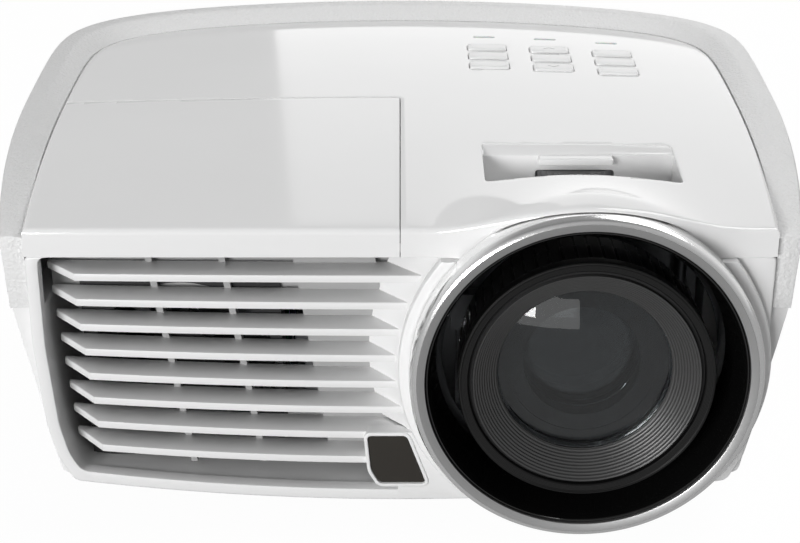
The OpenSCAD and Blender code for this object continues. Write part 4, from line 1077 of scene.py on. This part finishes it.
ring = turned_piece("silver_ring", smooth_profile(
    [(63.0, -5.6), (63.0, -16.5), (66.2, -17.3), (66.2, -5.6)], [0.2, 0.35, 0.1, 0.2]))
ride(ring, "body", "ring_silver", "trim_ring")
bevel = turned_piece("silver_ring_bevel", smooth_profile(
    [(66.2, -5.6), (66.2, -17.3), (67.9, -16.5), (69.0, -14.3), (69.0, -5.6)], [0.2, 0.25, 0.9, 0.9, 0.2]))
ride(bevel, "body", "ring_silver", finish="ring_bevel")
bell_curve = [(61.4 - 5.9 * math.sin(math.pi / 2 * t), -15.2 + 29.2 * t)
              for t in (0.04, 0.1, 0.2, 0.3, 0.4, 0.5, 0.6, 0.7, 0.8, 0.9, 1)]
funnel = turned_piece("lens_funnel_shell", [
    (62.7, -5.4), (62.7, -15.2), (62.3, -15.6), (61.9, -15.5)] + bell_curve + [
    (57.0, 14), (58.8, 8), (62.0, -2.4), (65.9, -2.4), (65.9, -5.4)])
ride(funnel, "body", "gloss_black", "lens_funnel")

# %% [markdown]
# The focus ring has sixty grip ribs behind a smooth nose. After the spin, each point of its rim moves in
# by a wave round the axis: that is a knurl without a single boolean.

# %% The focus ring
focus_back, barrel_y = 4.7, -ring_proud + 2
bm = bmesh.new()
nose = [(46.1, 1.2), (46.5, 0.75), (48.6, 0.55), (48.9, 0.3), (49.2, 0), (49.65, 0.05), (50.0, 0.45),
        (50.0, 5.6), (49.7, 6.4), (49.99, 7)]
turned(bm, [(46.1, focus_back)] + [(r, barrel_y + y) for r, y in nose] + [
    (49.99, focus_back - 1.4), (49.99, focus_back - 0.8), (49.4, focus_back)], 720)
for v in bm.verts:
    across = Vector((v.co.x - lens_x, v.co.z + lens_drop))
    if barrel_y + 6.6 < v.co.y < focus_back - 0.6 and across.length > 49.5:
        wave = max(0, math.cos(60 * math.atan2(across.y, across.x))) ** 0.7
        across *= (across.length - 0.3 * wave) / across.length
        v.co.x, v.co.z = lens_x + across.x, across.y - lens_drop
focus_ring = finish_mesh(bm, "focus_ring_knurled", 30)
ride(focus_ring, "focus", "lens_black", "focus_ring")

# %% [markdown]
# Inside it sits a cone with nine sharp grooves, which keep stray light from the glass. The barrel behind
# has stepped baffles for the same reason.

# %% Cone and barrel
cone_y, cone_r, glass_r, groove_count = barrel_y + 0.6, 44.35, 34.5, 9
groove, dip = (cone_r - glass_r) / (groove_count + 1), 9.0 / (groove_count + 1)
stair = []
for k in range(groove_count + 1):
    r, y = cone_r - k * groove, cone_y + k * dip
    stair += [(r, y + 0.1), (r - 0.1, y), (r - groove * 0.55, y + dip * 0.2),
              (r - groove * 0.66, y + dip * 0.3), (r - groove * 0.8, y + dip * 0.85)]
cone = turned_piece("grooved_cone", stair + [
    (glass_r, cone_y + 9), (glass_r, cone_y + 15), (glass_r - 1.2, cone_y + 15),
    (glass_r - 1.2, cone_y + 17), (cone_r, cone_y + 17)], 220, 20)
ride(cone, "front_lens", "lens_black", "lens_cone", finish="cone_grey")
barrel_end = seam_box("lens_barrel")[1].y
barrel = turned_piece("barrel_with_baffles", [
    (44.5, barrel_y + 3), (44.5, 3.6), (40, 3.6), (40, 4.2), (34, 4.2), (34, 4.8), (29, 4.8), (29, 5.2),
    (22.4, 5.2), (22.4, 16), (21.9, 16), (21.9, 22), (19.5, 22), (19.5, 22.6), (21.5, 22.6), (21.5, 34),
    (18.5, 34), (18.5, 34.6), (20, 34.6), (20, barrel_end), (26, barrel_end), (26, 50), (34, 50),
    (34, 19), (48, 19), (48, 15.8), (46, 15.8), (46, barrel_y + 3)], 160)
ride(barrel, "lens_shift", "lens_black", "lens_barrel", finish="baffle_black")

# %% [markdown]
# The glass elements are lenses of real thickness: a sphere's cap in front, a shallower hollow behind, and
# a ground edge that the mount hides. Their coating is in the material.

# %% Glass
def lens_profile(r, y_apex, dome, thick, hollow):
    """A meniscus: its front bulges by dome, its back is hollow by less."""
    front = [(r * k / 24, y_apex + dome * (k / 24) ** 2) for k in range(0, 25)]
    back = [(r * k / 24, y_apex + dome + thick - hollow * (1 - (k / 24) ** 2)) for k in range(24, -1, -1)]
    return front + back


front_glass = turned_piece("front_element", lens_profile(glass_r - 0.1, cone_y + 4, 6.0, 4.6, 3.0), 160, 50)
ride(front_glass, "front_lens", "lens_glass", "front_glass")
inner_y = seam_box("inner_glass")[0].y
inner_glass = turned_piece("inner_element", lens_profile(21.9, inner_y, 4.0, 5.6, 2.0), 128, 50)
ride(inner_glass, "zoom_lens", "lens_glass", "inner_glass")
lens_pieces = (ring, funnel, focus_ring, cone, barrel, front_glass, inner_glass)
print("lens pieces:", [len(p.data.polygons) for p in lens_pieces])

# %% [markdown]
# ## Keys and lights
# Each key is a pillow: a column that follows the crowned top and closes in soft steps. The keys for up
# and down carry a fine chevron, a hair proud of the key, in grey ink.

# %% The nine keys
def key_piece(column, row):
    p = key_at(column, row)
    loop = dense(rounded(p.x, p.y, key_w, key_d, 1.3), 1.5)
    pillow = lambda up, swell: (lambda x, y: top_z(x, y) + up + swell * (1 - (2 * (y - p.y) / key_d) ** 2))
    bm = prism(loop, [(0, on_top(-4.5)), (0, on_top(0.45)), (-0.12, on_top(0.68)), (-0.4, on_top(0.84)),
                      (-1.0, pillow(0.9, 0.04)), (-2.2, pillow(0.93, 0.07)), (-3.6, pillow(0.94, 0.08))])
    name = KEY_NODES[column][row]
    return ride(finish_mesh(bm, name + "_cap", 40), name, "key_white", name)


caps = [key_piece(c, r) for c in range(3) for r in range(3)]


def chevron(column, row, way):
    """Two strokes that meet in a point, ahead (way 1) or behind (way -1)."""
    p = key_at(column, row)
    bm = bmesh.new()
    for side in (-1, 1):
        ends = [Vector((p.x, p.y + 0.9 * way)), Vector((p.x + side * 2.6, p.y - 0.7 * way))]
        along = (ends[1] - ends[0]).normalized()
        across = Vector((-along.y, along.x)) * 0.22
        corners = [ends[0] - across, ends[1] - across, ends[1] + across, ends[0] + across]
        face = bm.faces.new([bm.verts.new(q) for q in lifted(corners, on_top(0.95))])
        grown = bmesh.ops.extrude_face_region(bm, geom=[face])["geom"]
        upper = [g for g in grown if isinstance(g, bmesh.types.BMVert)]
        bmesh.ops.translate(bm, vec=(0, 0, 0.09), verts=upper)
    bmesh.ops.recalc_face_normals(bm, faces=bm.faces)
    ride(finish_mesh(bm, f"chevron_{row}", 20), KEY_NODES[column][row], "dial_grey")


chevron(1, 0, 1)
chevron(1, 2, -1)
print("keys:", [cap.name for cap in caps])

# %% The three lights
bm = bmesh.new()
for c in range(3):
    q = light_at(c)
    part = prism(dense(rounded(q.x, q.y, light_w - 0.1, light_d - 0.1, 0.5), 1.5), [
        (0, on_top(-4)), (0, on_top(0.05)), (-0.15, on_top(0.2)), (-0.45, on_top(0.28))])
    whole = bpy.data.meshes.new("light")
    part.to_mesh(whole)
    part.free()
    bm.from_mesh(whole)
    bpy.data.meshes.remove(whole)
lights = finish_mesh(bm, "status_light_bars", 40)
ride(lights, "body", "light_pipe", "status_lights")

# %% [markdown]
# ## The disc tray's front and its key
# The tray closes with a small front that stands inside the proud frame on the right side. Its key is a
# narrow bar. Both are boxes with all edges rounded, since they are moulded with tiny radii.

# %% Tray front and eject key
front_lo, front_hi = seam_box("tray_front")
tray_face = rounded_block(front_lo, front_hi, 0.5, "tray_face", 3)
button_lo, button_hi = seam_box("eject_button")
pocket = rounded_block((front_hi.x - 1.1, button_lo.y - 0.5, button_lo.z - 0.4),
                       (front_hi.x + 5, button_hi.y + 0.5, button_hi.z + 0.4), 0.3, "pocket", 2)
cut(tray_face, [pocket])
finger_line = rounded_block((front_hi.x - 0.5, front_lo.y + 6, front_lo.z + 2.1),
                            (front_hi.x + 5, button_lo.y - 6, front_lo.z + 2.7), 0.2, "line", 2)
cut(tray_face, [finger_line])
ride(tray_face, "tray", "satin_white", "tray_front")
eject = rounded_block(button_lo, button_hi, 0.35, "eject_key", 3)
ride(eject, "eject", "key_white", "eject_button")
print("tray front:", [round(c, 1) for c in front_hi - front_lo], "mm")

# %% [markdown]
# ## The studio
# The portrait looks down by 23 degrees with a long lens. A big soft light stands in front to the left,
# so that the front and the left side are bright and the right side is in half shade. A tall softbox
# behind to the right draws the bright sheen across the glossy top, a weaker light from above fills the
# shadows, and a low one in front is there for the window's reflection in the glass. No light is seen
# itself.

# %% Camera
look_down = 23
camera_data = bpy.data.cameras.new("portrait")
camera_data.lens, camera_data.sensor_width = 72, 36
camera = bpy.data.objects.new("portrait", camera_data)
camera.location = (-0.0002, -0.68195, 0.3563)
camera.rotation_euler = (math.radians(90 - look_down), 0, 0)
bpy.context.scene.collection.objects.link(camera)
bpy.context.scene.camera = camera
bpy.context.scene.view_settings.view_transform = "Standard"

# %% Lights
def softbox(name, place, aim, width, height, watts):
    lamp = bpy.data.lights.new(name, "AREA")
    lamp.shape, lamp.size, lamp.size_y, lamp.energy = "RECTANGLE", width, height, watts
    held = bpy.data.objects.new(name, lamp)
    held.location = place
    held.rotation_euler = (Vector(aim) - Vector(place)).to_track_quat("-Z", "Y").to_euler()
    held.visible_camera = False
    bpy.context.scene.collection.objects.link(held)


softbox("front_left", (-1.15, -2.2, 0.5), (0, 0, 0.06), 1.1, 0.7, 46)
softbox("behind_right", (0.66, 2.5, 1.5), (0.66, 0, 1.5), 1.9, 2.6, 14)
softbox("above", (0.8, 0.3, 1.4), (0, 0, 0.1), 0.9, 0.9, 11)
softbox("window_reflection", (-0.45, -2.2, 0.03), (0.07, 0, 0.08), 1.3, 1.0, 6)

# %% [markdown]
# The room is white to the camera. In reflections it is bright behind the object and dark overhead and in
# front, which is what gives the ring its dark crown and keeps the glass clear. The floor answers the
# camera mostly with plain white, and keeps a share of its true shading for the soft contact shadow.

# %% World and floor
def switched(tree, ray, off, on):
    """A value that is off, or on for one kind of ray. Either can be a number or an output."""
    kind = node(tree, "ShaderNodeLightPath").outputs[ray]
    mix = node(tree, "ShaderNodeMix", {0: kind}, data_type="FLOAT")
    for slot, value in ((2, off), (3, on)):
        if isinstance(value, float):
            mix.inputs[slot].default_value = value
        else:
            tree.links.new(value, mix.inputs[slot])
    return mix.outputs[0]


world = bpy.data.worlds.new("white_room")
world.use_nodes = True
bpy.context.scene.world = world
sky = world.node_tree
room_light = sky.nodes["Background"]
room_light.inputs["Color"].default_value = (1, 1, 1, 1)
heading = node(sky, "ShaderNodeSeparateXYZ", {0: node(sky, "ShaderNodeTexCoord").outputs["Generated"]})
behind = node(sky, "ShaderNodeMapRange", {"Value": heading.outputs["Y"]},
              From_Min=-1.0, From_Max=0.3, To_Min=0.3, To_Max=0.75)
crown = node(sky, "ShaderNodeMapRange", {"Value": heading.outputs["Z"]},
             From_Min=0.55, From_Max=0.85, To_Min=1.0, To_Max=0.3)
mirrored = node(sky, "ShaderNodeMath", {0: behind.outputs[0], 1: crown.outputs[0]}, operation="MULTIPLY")
strength = switched(sky, "Is Camera Ray", switched(sky, "Is Glossy Ray", 0.2, mirrored.outputs[0]), 1.0)
sky.links.new(strength, room_light.inputs["Strength"])

bm = bmesh.new()
bmesh.ops.create_grid(bm, x_segments=1, y_segments=1, size=6)
floor = finish_mesh(bm, "floor", seated=True)
plain, mirrored_plain, plain_share = 1.08, 0.38, 0.9
paper, tree, shader = material("white_paper_sweep", "#9A9A9A", Roughness=0.9)
glow = node(tree, "ShaderNodeEmission", Color=(1, 1, 1, 1))
tree.links.new(switched(tree, "Is Glossy Ray", plain, mirrored_plain), glow.inputs["Strength"])
share = switched(tree, "Is Camera Ray", switched(tree, "Is Glossy Ray", 0.0, plain_share), plain_share)
blend = node(tree, "ShaderNodeMixShader", {0: share, 1: shader.outputs[0], 2: glow.outputs[0]})
tree.links.new(blend.outputs[0], tree.nodes["Material Output"].inputs["Surface"])
floor.data.materials.append(paper)
